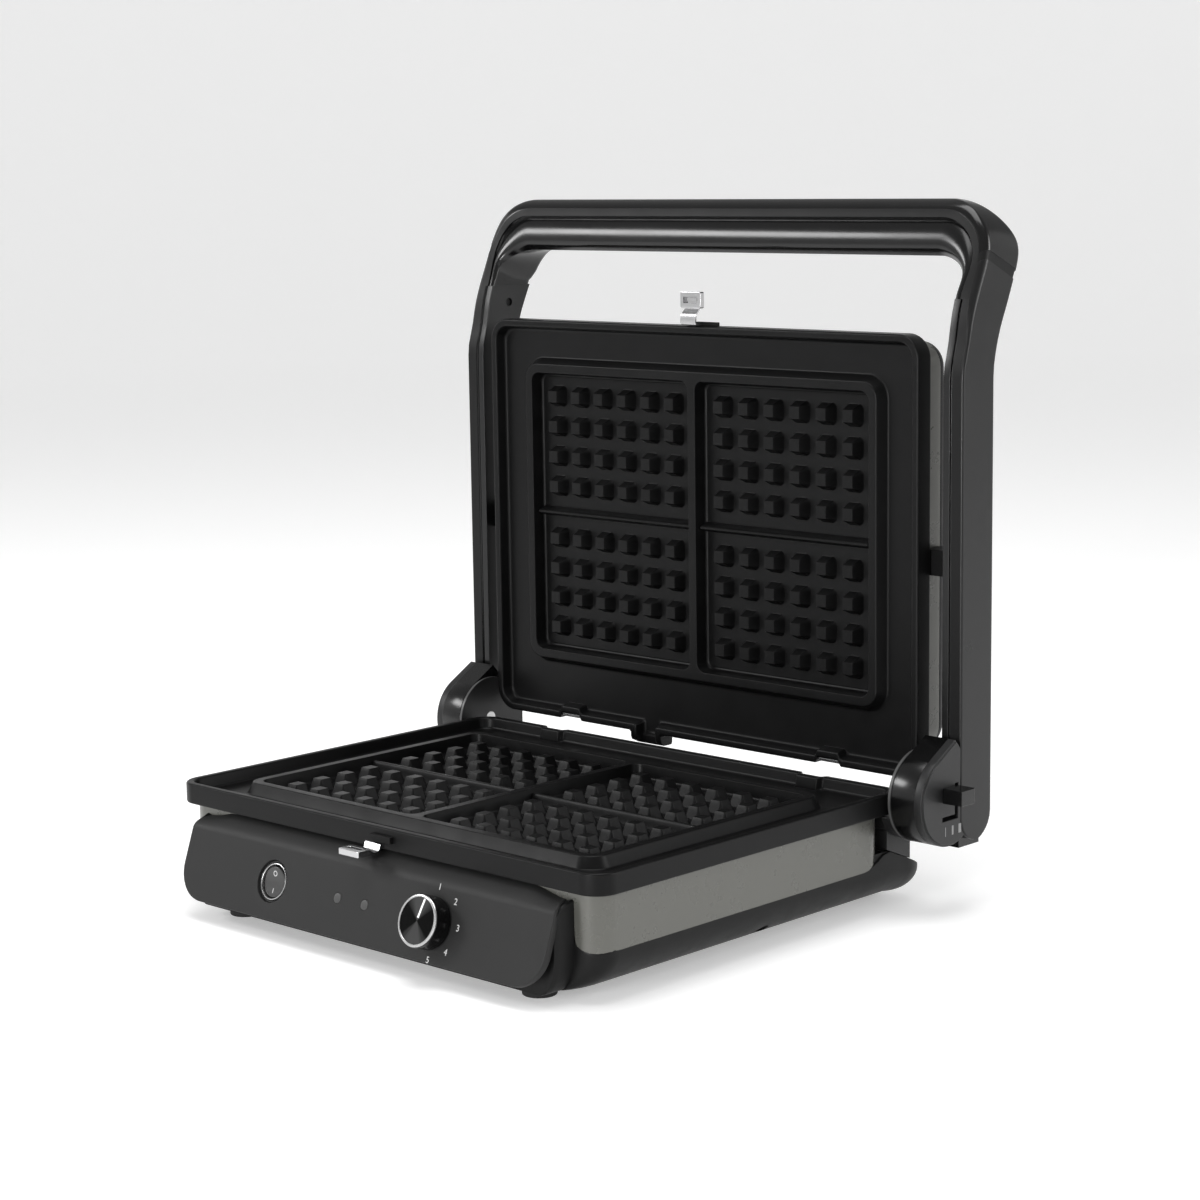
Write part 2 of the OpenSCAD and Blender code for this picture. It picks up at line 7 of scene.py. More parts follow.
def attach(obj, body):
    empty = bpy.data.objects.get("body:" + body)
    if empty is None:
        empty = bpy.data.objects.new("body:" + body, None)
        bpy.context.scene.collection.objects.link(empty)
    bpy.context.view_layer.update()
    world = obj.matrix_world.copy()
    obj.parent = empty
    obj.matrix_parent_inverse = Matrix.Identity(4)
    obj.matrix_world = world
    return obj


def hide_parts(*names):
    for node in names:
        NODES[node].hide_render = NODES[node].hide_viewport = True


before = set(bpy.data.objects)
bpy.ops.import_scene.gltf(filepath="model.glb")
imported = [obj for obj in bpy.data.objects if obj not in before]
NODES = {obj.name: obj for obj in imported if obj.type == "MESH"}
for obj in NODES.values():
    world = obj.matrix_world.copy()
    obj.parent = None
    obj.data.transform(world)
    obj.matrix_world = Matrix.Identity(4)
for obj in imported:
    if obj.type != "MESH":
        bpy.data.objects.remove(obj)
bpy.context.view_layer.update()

# Work coordinates are millimetres from the middle of the lower plate's peg tops.
SHIFT = (-5.8, -21.43, 60.0)
HY, HZ = 118.4, -0.9            # lid hinge
UP_Y, UP_Z = 123.9, 117.46      # where the upper plate's middle stands


def metres(p):
    """From work coordinates to the frame's metres."""
    return Vector(((p[0] + SHIFT[0]) / 1000, (p[1] + SHIFT[1]) / 1000, (p[2] + SHIFT[2]) / 1000))


def stood_up(p):
    """From the lower plate's coordinates to the upright upper plate's."""
    return (p[0], UP_Y - p[2], UP_Z - p[1])


LEAN = math.radians(19.4)       # lean of the control panel
PN = (0.0, -math.cos(LEAN), math.sin(LEAN))     # out of the panel
PU = (0.0, math.sin(LEAN), math.cos(LEAN))      # up the panel
PANEL = (-115.89, -32.4)        # y and z of the panel's middle


def on_panel(x, up, out):
    """A point on the leaning control panel."""
    return (x, PANEL[0] + PU[1] * up + PN[1] * out, PANEL[1] + PU[2] * up + PN[2] * out)


# ------------------------------------------------------------------ materials

def principled(name, color, rough=0.5, metal=0.0, coat=0.0, coat_rough=0.1, spec=0.5,
               grain=0.0, grain_mm=0.4, rough_var=0.0, var_mm=8.0, tint=0.0, waves=None):
    """One procedural surface: grain in the bump, slow changes in roughness and colour."""
    m = bpy.data.materials.new(name)
    m.use_nodes = True
    nt = m.node_tree
    n, k = nt.nodes, nt.links
    b = n["Principled BSDF"]
    b.inputs["Base Color"].default_value = (*color, 1)
    b.inputs["Roughness"].default_value = rough
    b.inputs["Metallic"].default_value = metal
    b.inputs["Coat Weight"].default_value = coat
    b.inputs["Coat Roughness"].default_value = coat_rough
    b.inputs["Specular IOR Level"].default_value = spec
    tc = n.new("ShaderNodeTexCoord")
    src = tc.outputs["Object"]
    if rough_var or tint:
        noise = n.new("ShaderNodeTexNoise")
        noise.inputs["Scale"].default_value = 1000.0 / var_mm
        noise.inputs["Detail"].default_value = 5
        noise.inputs["Roughness"].default_value = 0.6
        k.new(src, noise.inputs["Vector"])
        if rough_var:
            r = n.new("ShaderNodeMapRange")
            r.inputs["From Min"].default_value = 0.3
            r.inputs["From Max"].default_value = 0.7
            r.inputs["To Min"].default_value = max(0.02, rough - rough_var)
            r.inputs["To Max"].default_value = min(1.0, rough + rough_var)
            k.new(noise.outputs["Fac"], r.inputs["Value"])
            k.new(r.outputs["Result"], b.inputs["Roughness"])
        if tint:
            ramp = n.new("ShaderNodeValToRGB")
            ramp.color_ramp.elements[0].position = 0.3
            ramp.color_ramp.elements[1].position = 0.7
            ramp.color_ramp.elements[0].color = (*[c * (1 - tint) for c in color], 1)
            ramp.color_ramp.elements[1].color = (*[min(1, c * (1 + tint)) for c in color], 1)
            k.new(noise.outputs["Fac"], ramp.inputs["Fac"])
            k.new(ramp.outputs["Color"], b.inputs["Base Color"])
    height = None
    if grain:
        fine = n.new("ShaderNodeTexNoise")
        fine.inputs["Scale"].default_value = 1000.0 / grain_mm
        fine.inputs["Detail"].default_value = 2
        k.new(src, fine.inputs["Vector"])
        height = fine.outputs["Fac"]
    if waves:
        height = waves(n, k, src)
    if height is not None:
        bump = n.new("ShaderNodeBump")
        bump.inputs["Strength"].default_value = grain or 0.15
        bump.inputs["Distance"].default_value = 0.0002
        k.new(height, bump.inputs["Height"])
        k.new(bump.outputs["Normal"], b.inputs["Normal"])
    return m


def brushed(axis_scale):
    """Fine noise stretched along one axis, as the height for a brushed surface."""
    def build(n, k, src):
        mp = n.new("ShaderNodeMapping")
        mp.inputs["Scale"].default_value = axis_scale
        k.new(src, mp.inputs["Vector"])
        t = n.new("ShaderNodeTexNoise")
        t.inputs["Scale"].default_value = 1.0
        t.inputs["Detail"].default_value = 3
        k.new(mp.outputs["Vector"], t.inputs["Vector"])
        return t.outputs["Fac"]
    return build


M = {
    "nonstick": principled("nonstick_coat", (0.0036, 0.0036, 0.0037), 0.38, spec=0.14, grain=0.10,
                           grain_mm=0.35, rough_var=0.05, var_mm=18, tint=0.12),
    "gloss": principled("gloss_black_plastic", (0.002, 0.002, 0.0021), 0.2, spec=0.42, grain=0.02,
                        grain_mm=0.6, rough_var=0.03, var_mm=30),
    "leg": principled("leg_black_plastic", (0.003, 0.003, 0.0031), 0.3, spec=0.35, grain=0.06,
                      grain_mm=0.3, rough_var=0.03, var_mm=20),
    "band": principled("band_satin_plastic", (0.005, 0.005, 0.0051), 0.44, spec=0.18, grain=0.08,
                       grain_mm=0.3, rough_var=0.03, var_mm=14),
    "satin": principled("satin_black_plastic", (0.010, 0.010, 0.0103), 0.42, spec=0.35, grain=0.12,
                        grain_mm=0.3, rough_var=0.04, var_mm=14, tint=0.08),
    "matte": principled("matte_black_plastic", (0.004, 0.004, 0.004), 0.46, spec=0.16, grain=0.15,
                        grain_mm=0.35, rough_var=0.05, var_mm=10, tint=0.1),
    "console": principled("console_soft_plastic", (0.0165, 0.0165, 0.0165), 0.5, spec=0.2, grain=0.12,
                          grain_mm=0.25, rough_var=0.04, var_mm=12, tint=0.05),
    "taupe": principled("taupe_paint", (0.094, 0.094, 0.084), 0.28, metal=0.25, coat=0.1, coat_rough=0.25,
                        grain=0.03, grain_mm=0.25, rough_var=0.015, var_mm=16, tint=0.01),
    "chrome": principled("plated_steel", (0.5, 0.5, 0.505), 0.22, metal=1.0, rough_var=0.05, var_mm=3),
    "steel": principled("plain_steel", (0.48, 0.48, 0.48), 0.35, metal=1.0, rough_var=0.08, var_mm=2,
                        waves=brushed((900, 60, 60))),
    "sheet": principled("sheet_aluminium", (0.62, 0.62, 0.62), 0.4, metal=1.0,
                        waves=brushed((40, 1200, 1200))),
    "heater": principled("heater_sheath", (0.13, 0.12, 0.11), 0.5, metal=0.8, rough_var=0.1, var_mm=4,
                         tint=0.2),
    "rubber": principled("foot_rubber", (0.012, 0.012, 0.012), 0.7, spec=0.3, grain=0.3, grain_mm=0.5),
    "lens": principled("lamp_lens", (0.035, 0.035, 0.035), 0.4, coat=0.05, coat_rough=0.2, grain=0.05,
                       grain_mm=0.6),
    "rocker": principled("rocker_dark_plastic", (0.03, 0.03, 0.03), 0.32, spec=0.5, grain=0.05),
    "ceramic": principled("cream_ceramic", (0.7, 0.66, 0.55), 0.6, grain=0.2, grain_mm=0.5),
    "print": principled("pale_print", (0.5, 0.5, 0.5), 0.5, grain=0.05, grain_mm=0.2),
    "mark": principled("grey_print", (0.2, 0.2, 0.2), 0.5, grain=0.05, grain_mm=0.2),
    "white": principled("white_line", (0.85, 0.85, 0.85), 0.4, grain=0.05, grain_mm=0.2),
    "ring": principled("satin_ring", (0.45, 0.45, 0.45), 0.28, metal=0.9, rough_var=0.05, var_mm=2),
    "ring_dark": principled("dark_grey_ring", (0.055, 0.055, 0.055), 0.35, spec=0.5, grain=0.05),
    "dark": principled("dark_recess", (0.003, 0.003, 0.003), 0.6, spec=0.2, grain=0.1),
}


def disc_material(centre):
    """Dark metal disc with a painted reflection of turned rings: the colour brightens in two lobes round its
    middle, with fine streaks.
    """
    m = bpy.data.materials.new("dark_disc_painted_glint")
    m.use_nodes = True
    nt = m.node_tree
    n, k = nt.nodes, nt.links
    b = n["Principled BSDF"]
    b.inputs["Metallic"].default_value = 1.0
    b.inputs["Roughness"].default_value = 0.3
    b.inputs["Base Color"].default_value = (0.12, 0.12, 0.12, 1)
    tc = n.new("ShaderNodeTexCoord")
    mp = n.new("ShaderNodeMapping")
    mp.inputs["Location"].default_value = (-centre.x, 0, 0)
    k.new(tc.outputs["Object"], mp.inputs["Vector"])
    sep = n.new("ShaderNodeSeparateXYZ")
    k.new(mp.outputs["Vector"], sep.inputs["Vector"])
    # height above the middle, measured up the leaning face
    up = n.new("ShaderNodeMath")
    up.operation = "MULTIPLY_ADD"
    up.inputs[1].default_value = 1 / math.cos(LEAN)
    up.inputs[2].default_value = -centre.z / math.cos(LEAN)
    k.new(sep.outputs["Z"], up.inputs[0])
    # painted glint: the angle round the middle sets two bright lobes and fine streaks in the base colour
    ang = n.new("ShaderNodeMath")
    ang.operation = "ARCTAN2"
    k.new(sep.outputs["X"], ang.inputs[0])
    k.new(up.outputs[0], ang.inputs[1])
    wide = n.new("ShaderNodeMath")
    wide.operation = "MULTIPLY"
    wide.inputs[1].default_value = 2.0
    k.new(ang.outputs[0], wide.inputs[0])
    s = n.new("ShaderNodeMath")
    s.operation = "COSINE"
    k.new(wide.outputs[0], s.inputs[0])
    noise = n.new("ShaderNodeTexNoise")
    noise.noise_dimensions = "1D"
    noise.inputs["Scale"].default_value = 9.0
    noise.inputs["Detail"].default_value = 4
    k.new(ang.outputs[0], noise.inputs["W"])
    add = n.new("ShaderNodeMath")
    add.operation = "MULTIPLY_ADD"
    add.inputs[1].default_value = 0.55
    k.new(noise.outputs["Fac"], add.inputs[0])
    k.new(s.outputs[0], add.inputs[2])
    ramp = n.new("ShaderNodeValToRGB")
    ramp.color_ramp.elements[0].position = 0.0
    ramp.color_ramp.elements[1].position = 1.0
    ramp.color_ramp.elements[0].color = (0.006, 0.006, 0.006, 1)
    ramp.color_ramp.elements[1].color = (0.075, 0.075, 0.075, 1)
    k.new(add.outputs[0], ramp.inputs["Fac"])
    k.new(ramp.outputs["Color"], b.inputs["Base Color"])
    return m


# ------------------------------------------------------------------ mesh helpers

def mark_sharp(me, degrees):
    """Smooth shading everywhere but on edges that bend more than this."""
    bm = bmesh.new()
    bm.from_mesh(me)
    limit = math.radians(degrees)
    for f in bm.faces:
        f.smooth = True
    for e in bm.edges:
        e.smooth = not (len(e.link_faces) == 2 and e.calc_face_angle(0) > limit)
    bm.to_mesh(me)
    bm.free()


class Build:
    """Collects vertices in millimetres and turns them into one smooth-shaded piece."""

    def __init__(self, place=lambda p: p):
        self.v, self.f, self.mat, self.place = [], [], {}, place

    def points(self, pts):
        start = len(self.v)
        self.v += [metres(self.place(p)) for p in pts]
        return list(range(start, len(self.v)))

    def bridge(self, a, b, closed=True, mats=None):
        n = len(a)
        for i in range(n if closed else n - 1):
            j = (i + 1) % n
            if mats:
                self.mat[len(self.f)] = mats[i]
            self.f.append((a[i], a[j], b[j], b[i]))

    def loft(self, loops, closed=True, cap_first=False, cap_last=False):
        ids = [self.points(q) for q in loops]
        for a, b in zip(ids, ids[1:]):
            self.bridge(a, b, closed)
        if cap_first:
            self.f.append(tuple(reversed(ids[0])))
        if cap_last:
            self.f.append(tuple(ids[-1]))
        return ids

    def mesh(self, name, fills=()):
        me = bpy.data.meshes.new(name)
        bm = bmesh.new()
        vs = [bm.verts.new(p) for p in self.v]
        for k, f in enumerate(self.f):
            try:
                face = bm.faces.new([vs[i] for i in f])
                face.material_index = self.mat.get(k, 0)
            except ValueError:
                pass
        for group in fills:
            edges = []
            for loop in group:
                for i, j in zip(loop, loop[1:] + loop[:1]):
                    e = bm.edges.get((vs[i], vs[j]))
                    edges.append(e or bm.edges.new((vs[i], vs[j])))
            bmesh.ops.triangle_fill(bm, use_beauty=True, edges=edges)
        bmesh.ops.remove_doubles(bm, verts=bm.verts, dist=1e-6)
        bmesh.ops.recalc_face_normals(bm, faces=bm.faces)
        bm.to_mesh(me)
        bm.free()
        return me

    def piece(self, name, body, mat, replaces=(), sharp=32, fills=(), cuts=()):
        """Makes the object; cuts are closed Builds whose space is taken out of it."""
        ob = bpy.data.objects.new(name, self.mesh(name, fills))
        bpy.context.scene.collection.objects.link(ob)
        for m in mat if isinstance(mat, (list, tuple)) else (mat,):
            ob.data.materials.append(m)
        for c in cuts:
            tool = bpy.data.objects.new("tool", c.mesh("tool"))
            bpy.context.scene.collection.objects.link(tool)
            mod = ob.modifiers.new("cut", "BOOLEAN")
            mod.object = tool
            mod.solver = "EXACT"
            deps = bpy.context.evaluated_depsgraph_get()
            ob.data = bpy.data.meshes.new_from_object(ob.evaluated_get(deps))
            ob.modifiers.clear()
            bpy.data.objects.remove(tool)
        ob.data.name = name
        mark_sharp(ob.data, sharp)
        even = ob.modifiers.new("even_shading", "WEIGHTED_NORMAL")
        even.keep_sharp = True
        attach(ob, body)
        if replaces:
            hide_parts(*replaces)
        return ob


def arc(cx, cy, r, a0, a1, n):
    return [(cx + r * math.cos(math.radians(a0 + (a1 - a0) * i / n)),
             cy + r * math.sin(math.radians(a0 + (a1 - a0) * i / n))) for i in range(n + 1)]


def turn(n):
    """Angles of n equal steps round a circle."""
    return [2 * math.pi * k / n for k in range(n)]


def rr(w, d, r, z, cx=0.0, cy=0.0, n=10):
    """Rounded rectangle loop at height z, counter-clockwise from the right edge."""
    r = max(r, 0.02)
    x, y = w / 2 - r, d / 2 - r
    pts = []
    for sx, sy, a in ((1, 1, 0), (-1, 1, 90), (-1, -1, 180), (1, -1, 270)):
        pts += arc(cx + sx * x, cy + sy * y, r, a, a + 90, n)
    return [(p[0], p[1], z) for p in pts]


def soft(t, e):
    """A ramp from 0 whose corner is rounded."""
    if t < -e:
        return 0.0
    return (t + e) ** 2 / (4 * e) if t < e else t


# ------------------------------------------------------------------ cooking plates

PW, PD, PY, PR = 290.8, 216.5, 4.45, 12.0       # width, depth, middle's y, corner radius
PITCH_X, PITCH_Y = 16.8, 16.2                   # between pegs
GAP_X, GAP_Y = 33.74 / 2, 28.25 / 2             # from the plate's middle to the nearest pegs
FLOOR = -5.9                                    # bottom of the pockets
NOTCH = 89.5                                    # x of a rear dip
DIP_STEPS = (9.4, 8.4, 7.9, 7.3, 6.7, 6.1, 0, -6.1, -6.7, -7.3, -7.9, -8.4, -9.4)
SPOUT_X, SPOUT_Y = (-23.5, -45), 119.4          # sides and far edge of the upper plate's spout


def spout_points(i, z, rear):
    """The spout's side of a rim loop, from right to left."""
    a, b, far = SPOUT_X[0] - i, SPOUT_X[1] + i, SPOUT_Y - i
    low, mid = min(z, -2.7), min(z, 0.6)
    return [(a + 1.2, rear, z), (a, rear + 1.0, z), (a, 115.5, z), (a, 117.6, mid),
            (a - 0.4, far - 0.3, low), (a - 1.6, far, low), ((a + b) / 2, far, low), (b + 1.6, far, low),
            (b + 0.4, far - 0.3, low), (b, 117.6, mid), (b, 115.5, z), (b, rear + 1.0, z), (b - 1.2, rear, z)]


def rim_loop(i, z, spout, keep=1.0):
    """The plate's outline moved in by i, with the two rear dips and, on the upper plate, the spout."""
    cx, cy = PW / 2 - PR, PD / 2 - PR
    rear = PD / 2 + PY - i

    def corner(x, y, start):
        return [(p[0], p[1] + PY, z) for p in arc(x, y, PR - i, start, start + 90, 10)]

    def dip(x):
        t = min(abs(x - NOTCH), abs(x + NOTCH))
        t = min(1, max(0, (8.4 - t) / 2.3))
        return keep * 3.1 * t * t * (3 - 2 * t)

    edge = []
    for x in sorted([c + s for c in (NOTCH, -NOTCH) for s in DIP_STEPS] + [60, 30, 0, -70], reverse=True):
        edge.append((x, rear - dip(x), z))
        if x == 0 and spout:
            edge += spout_points(i, z, rear)
        elif x == 0:
            edge += [(SPOUT_X[0] - 1.6 * j, rear, z) for j in range(13)]
    return corner(cx, cy, 0) + edge + corner(-cx, cy, 90) + corner(-cx, -cy, 180) + corner(cx, -cy, 270)


def peg_lines(n, gap, pitch, ends):
    """Grid lines across n pegs each way, close together where a peg's side bends."""
    lines = set(ends)
    for s in (-1, 1):
        for i in range(n):
            c = s * (gap + i * pitch)
            for o in (5.9, 5.55, 5.2, 4.6, 3.9, 3.35, 3.05, 2.75, 1.6):
                lines |= {round(c + o, 3), round(c - o, 3)}
            lines.add(round(c, 3))
    return sorted(lines)


XL = peg_lines(6, GAP_X, PITCH_X, [1.9, 4.0, 6.5, 9.0, 110.0, 113.0, 115.6])
YL = peg_lines(4, GAP_Y, PITCH_Y, [-76.1, -73, 73, 76.1, 0, 0.5, -0.5, 0.9, -0.9, 1.3, -1.3, 1.7, -1.7,
                                   2.1, -2.1, 2.6, -2.6, 5, -5])


def pocket_height(x, y):
    """Height of a pocket's floor, pegs and dividing rib at one place."""
    x = abs(x)
    i = min(5, max(0, round((x - GAP_X) / PITCH_X)))
    j = min(3, max(0, round((abs(y) - GAP_Y) / PITCH_Y)))
    dx, dy = abs(x - GAP_X - i * PITCH_X), abs(abs(y) - GAP_Y - j * PITCH_Y)
    r = math.hypot(dx, dy)
    t = max((dx - 3.05) / 2.4, (dy - 3.2) / 2.4, (r - 4.25) / 2.2)
    t = soft(t, 0.035)
    t = 1 - soft(1 - t, 0.06) if t < 1.2 else 1.0
    z = FLOOR * min(1.0, max(0.0, t))
    u = soft((abs(y) - 0.95) / 1.5, 0.35)
    u = 1 - soft(1 - u, 0.12) if u < 1.2 else 1.0
    rib_top = -0.55
    return max(z, rib_top + (FLOOR - rib_top) * min(1, max(0, u)))


def cooking_plate(name, body, place, spout, node):
    """Rim, raised block and two pockets on each side of the middle; place puts it in its housing."""
    b = Build(place)
    rim = [(6.0, -8.3), (0.9, -8.3), (0.25, -8.05), (0, -7.4), (0, 1.1), (0.22, 1.62), (0.7, 1.93),
           (1.3, 2.0), (2.9, 2.0), (3.5, 1.86), (3.9, 1.5), (4.1, 1.0), (4.9, -2.9), (5.3, -3.75),
           (6.0, -4.17), (7.0, -4.3)]
    ids = [b.points(rim_loop(i, z, spout, 1.0 if i < 5 else max(0.4, 1 - (i - 5) / 3))) for i, z in rim]
    for p, q in zip(ids, ids[1:]):
        b.bridge(p, q)
    b.f.append(tuple(reversed(ids[0])))
    block = [(123.6, 84.2, 12.4, -4.3), (122.8, 83.4, 11.8, -4.2), (122.2, 82.8, 11.2, -3.8),
             (119.95, 80.55, 9, 0.9), (119.75, 80.35, 8.8, 1.22), (119.4, 80.0, 8.5, 1.4),
             (119.0, 79.6, 8.1, 1.45)]
    bl = [b.points(rr(2 * x, 2 * y, r, z)) for x, y, r, z in block]
    for p, q in zip(bl, bl[1:]):
        b.bridge(p, q)
    fills = [(ids[-1], bl[0])]
    tops = [bl[-1]]
    for s in (-1, 1):
        walls = [(0, 1.45), (0.22, 1.38), (0.42, 1.15), (1.15, -4.6), (1.4, -5.3), (1.9, -5.75), (2.6, FLOOR)]
        lo, hi, yy = 2.15, 115.3, 75.9
        loops = []
        for i, z in walls:
            loops.append(b.points(rr(hi - lo - 2 * i, 2 * (yy - i), 5.2 - 0.6 * i, z, s * (lo + hi) / 2)))
        for p, q in zip(loops, loops[1:]):
            b.bridge(p, q)
        tops.append(loops[0])
        xs = [x for x in XL if 1.9 < x < 115.0]
        rows = [b.points([(s * x, y, pocket_height(x, y) - 0.02) for x in xs]) for y in YL if abs(y) <= 75.5]
        for p, q in zip(rows, rows[1:]):
            b.bridge(p, q, closed=False)
    fills.append(tuple(tops))
    return b.piece(name, body, M["nonstick"], (node,), sharp=40, fills=fills)


cooking_plate("lower_cooking_plate", "base", lambda p: p, False, "lower_plate")
cooking_plate("upper_cooking_plate", "upper_housing", stood_up, True, "upper_plate")

# ------------------------------------------------------------------ shells

SW, SD, SY = 282.6, 202.2, 1.4          # width, depth, middle's y


def shell_loops(z_top, z_low, r_edge, r_corner, w=SW, d=SD):
    """Loops of a shallow tray from its open edge at z_top round to the flat at z_low."""
    loops = [rr(w - 2 * i, d - 2 * i, r_corner - c, z_top - drop, 0, SY) for i, c, drop in
             ((2.5, 2.5, 0), (0.6, 0.6, 0), (0.175, 0.2, 0.18), (0, 0, 0.6))]
    for k in range(0, 9):
        a = math.radians(90 * k / 8)
        i = r_edge * (1 - math.cos(a))
        z = z_low + r_edge * (1 - math.sin(a))
        loops.append(rr(w - 2 * i, d - 2 * i, max(0.6, r_corner - i), z, 0, SY))
    return loops


b = Build()
b.loft(shell_loops(-8.3, -38.5, 3.5, 13.0), cap_last=True)
b.piece("lower_shell", "base", M["taupe"], ("lower_body_shell",))
b = Build(stood_up)
b.loft(shell_loops(-8.3, -21.6, 0.6, 13.0))
b.piece("upper_shell_band", "upper_housing", M["taupe"], ("upper_body_shell",))
b = Build(stood_up)
b.loft(shell_loops(-21.75, -28.6, 6.0, 12.5, w=SW - 1, d=SD - 1), cap_last=True)
b.piece("upper_back_cover", "upper_housing", M["matte"], ("upper_cover",))

# ------------------------------------------------------------------ tub

TUB_X, TUB_LOW_X = 141.3, 116.0         # half width at the grey shell and at the bottom
TUB_TOP, TUB_SWELL, TUB_BOTTOM = -34.0, -35.2, -55.0
LIP_Y, LIP_R = 144.0, 24.0              # rear lip and its corner radius
LIP_REACH = 7.5                         # how far the tub's rear slopes in
LEDGE_Z = -26.3                         # where the rear lip meets the grey shell
SHOULDER_TOP = -12.3
SHELL_R, SHELL_FRONT, SHELL_REAR = 13.0, SY - SD / 2, SY + SD / 2


def lip_height(y):
    """Height of the sloping rear lip."""
    return -26.9 - (y - 103) * 0.4122


def tub_stations():
    """Right half, back to front: outer point, normal, reach, top, swell, inner point."""
    out = []
    rear_z = lip_height(LIP_Y)
    for x in (0, 40, 80, 105):
        out.append(((x, LIP_Y), (0, 1), LIP_REACH, rear_z, rear_z - 1.5, (x, SHELL_REAR - 1, LEDGE_Z)))
    cx, cy = TUB_X - LIP_R, LIP_Y - LIP_R
    for k in range(13):
        a = math.radians(90 - 7.5 * k)
        c, s = math.cos(a), math.sin(a)
        y = cy + LIP_R * s
        t = s * s
        low = min(TUB_SWELL, lip_height(y) - 1.5)
        inner = (TUB_X - SHELL_R + (SHELL_R - 1) * c, SHELL_REAR - SHELL_R + (SHELL_R - 1) * s,
                 LEDGE_Z - 1.2 * (1 - t))
        reach = LIP_REACH * t + (TUB_X - TUB_LOW_X) * (1 - t)
        out.append(((cx + LIP_R * c, y), (c, s), reach, lip_height(y), low, inner))
    side = [(112, lip_height(112)), (106, lip_height(106)), (101, -28.9), (97, -31.2), (92, -33.2)]
    side += [(y, TUB_TOP) for y in (86, 60, 24, 12, -20, -55, -78, -86.7)]
    for y, z in side:
        inner = (TUB_X - 1.6, min(y, SHELL_REAR - SHELL_R), z)
        out.append(((TUB_X, y), (1, 0), TUB_X - TUB_LOW_X, z, min(z - 1.2, TUB_SWELL), inner))
    cx, cy = TUB_X - SHELL_R, SHELL_FRONT + SHELL_R
    rise = [(cx + (SHELL_R + 0.15) * math.cos(a), cy - (SHELL_R + 0.15) * math.sin(a), z, a) for a, z in
            [(math.radians(d), z) for d, z in ((12, -34.2), (26, -34.7), (40, -35.1), (54, -35.2),
                                               (66, -34.9), (78, -34.1), (88, -32.8))]]
    rise += [(x, SHELL_FRONT - 0.15, z, math.pi / 2) for x, z in
             ((127.7, -31.6), (127.25, -30.0), (126.95, -27.6), (126.8, -24.0), (126.75, -18),
              (126.7, SHOULDER_TOP - 1.2), (126.65, SHOULDER_TOP))]
    for x, y, z, a in rise:
        inside = (min(x, cx) + (SHELL_R - 1.2) * math.cos(a), cy - (SHELL_R - 1.2) * math.sin(a), z)
        out.append(((x, y), (1, 0), x - TUB_LOW_X, z, min(z - 1.2, TUB_SWELL), inside))
    for x, y, z in ((126.2, -102.0, -13.0), (125.9, -105.0, -13.9), (125.7, -107.5, -15.6),
                    (125.4, -108.8, -18.5), (124.4, -110.2, -24.0), (121.0, -111.0, -30.0)):
        out.append(((x, y), (1, 0), x - TUB_LOW_X, z, TUB_SWELL, (x - 6, -97.5, z)))
    return out


def tub_ring(station):
    """One section of the tub, from the inner edge over the lip and down to the bottom."""
    (x, y), (nx, ny), reach, top, swell, inner = station
    pts = [inner, (x - 1.1 * nx, y - 1.1 * ny, top + 0.12), (x - 0.45 * nx, y - 0.45 * ny, top),
           (x - 0.1 * nx, y - 0.1 * ny, top - 0.35), (x, y, top - 0.9),
           (x, y, min(top - 0.95, (top + swell) / 2))]
    for k in range(15):
        a = math.radians(90 - 6 * k)
        i = reach * (1 - math.sin(a))
        pts.append((x - nx * i, y - ny * i, swell + (TUB_BOTTOM - swell) * math.cos(a)))
    i = reach * (1 - math.sin(math.radians(4)))
    pts.append((x - nx * i, y - ny * i, TUB_BOTTOM))
    return pts


half = [tub_ring(s) for s in tub_stations()]
b = Build()
ids = [b.points(ring) for ring in half]
ids += [b.points([(-x, y, z) for x, y, z in ring]) for ring in reversed(half[1:])]
for p, q in zip(ids, ids[1:] + ids[:1]):
    b.bridge(p, q, closed=False)
b.f.append(tuple(r[0] for r in ids))
b.f.append(tuple(r[-1] for r in reversed(ids)))
notch = Build()
notch.loft([[(x, 18.2 + 5.0 * math.cos(a), -51.4 + 3.6 * math.sin(a) + 1.0 * math.cos(a)) for a in turn(40)]
            for x in (127.5, 150)], cap_first=True, cap_last=True)
base_hole = Build()
base_hole.loft([rr(180.6, 190.6, 12.3, z, 0, 16) for z in (-60, -51.5)], cap_first=True, cap_last=True)
b.piece("base_tub", "base", M["matte"], ("bottom_housing",), sharp=34, cuts=(notch, base_hole))

# ------------------------------------------------------------------ handle

# The handle's side view: y of its front and back edges by height.
SIDE_FRONT = [(-40, 126.2), (200, 126.2), (203, 126.3), (208.5, 127.3), (214.8, 129.3), (228.5, 131.9),
              (238.4, 134.9), (246, 138.0), (255.4, 141.9), (264.9, 145.0), (276, 147.2), (281, 149.0),
              (283.8, 151.8), (284.8, 154.4)]
SIDE_BACK = [(-40, 152.4), (200, 152.4), (206, 152.8), (214.5, 154.7), (223.9, 157.9), (236.4, 163.8),
             (246.7, 168.2), (253, 170.8), (259.2, 172.1), (264, 172.0), (268.6, 170.2), (273, 167.5),
             (277.4, 164.4), (281, 161.6), (283.6, 159.2), (284.8, 157.0)]


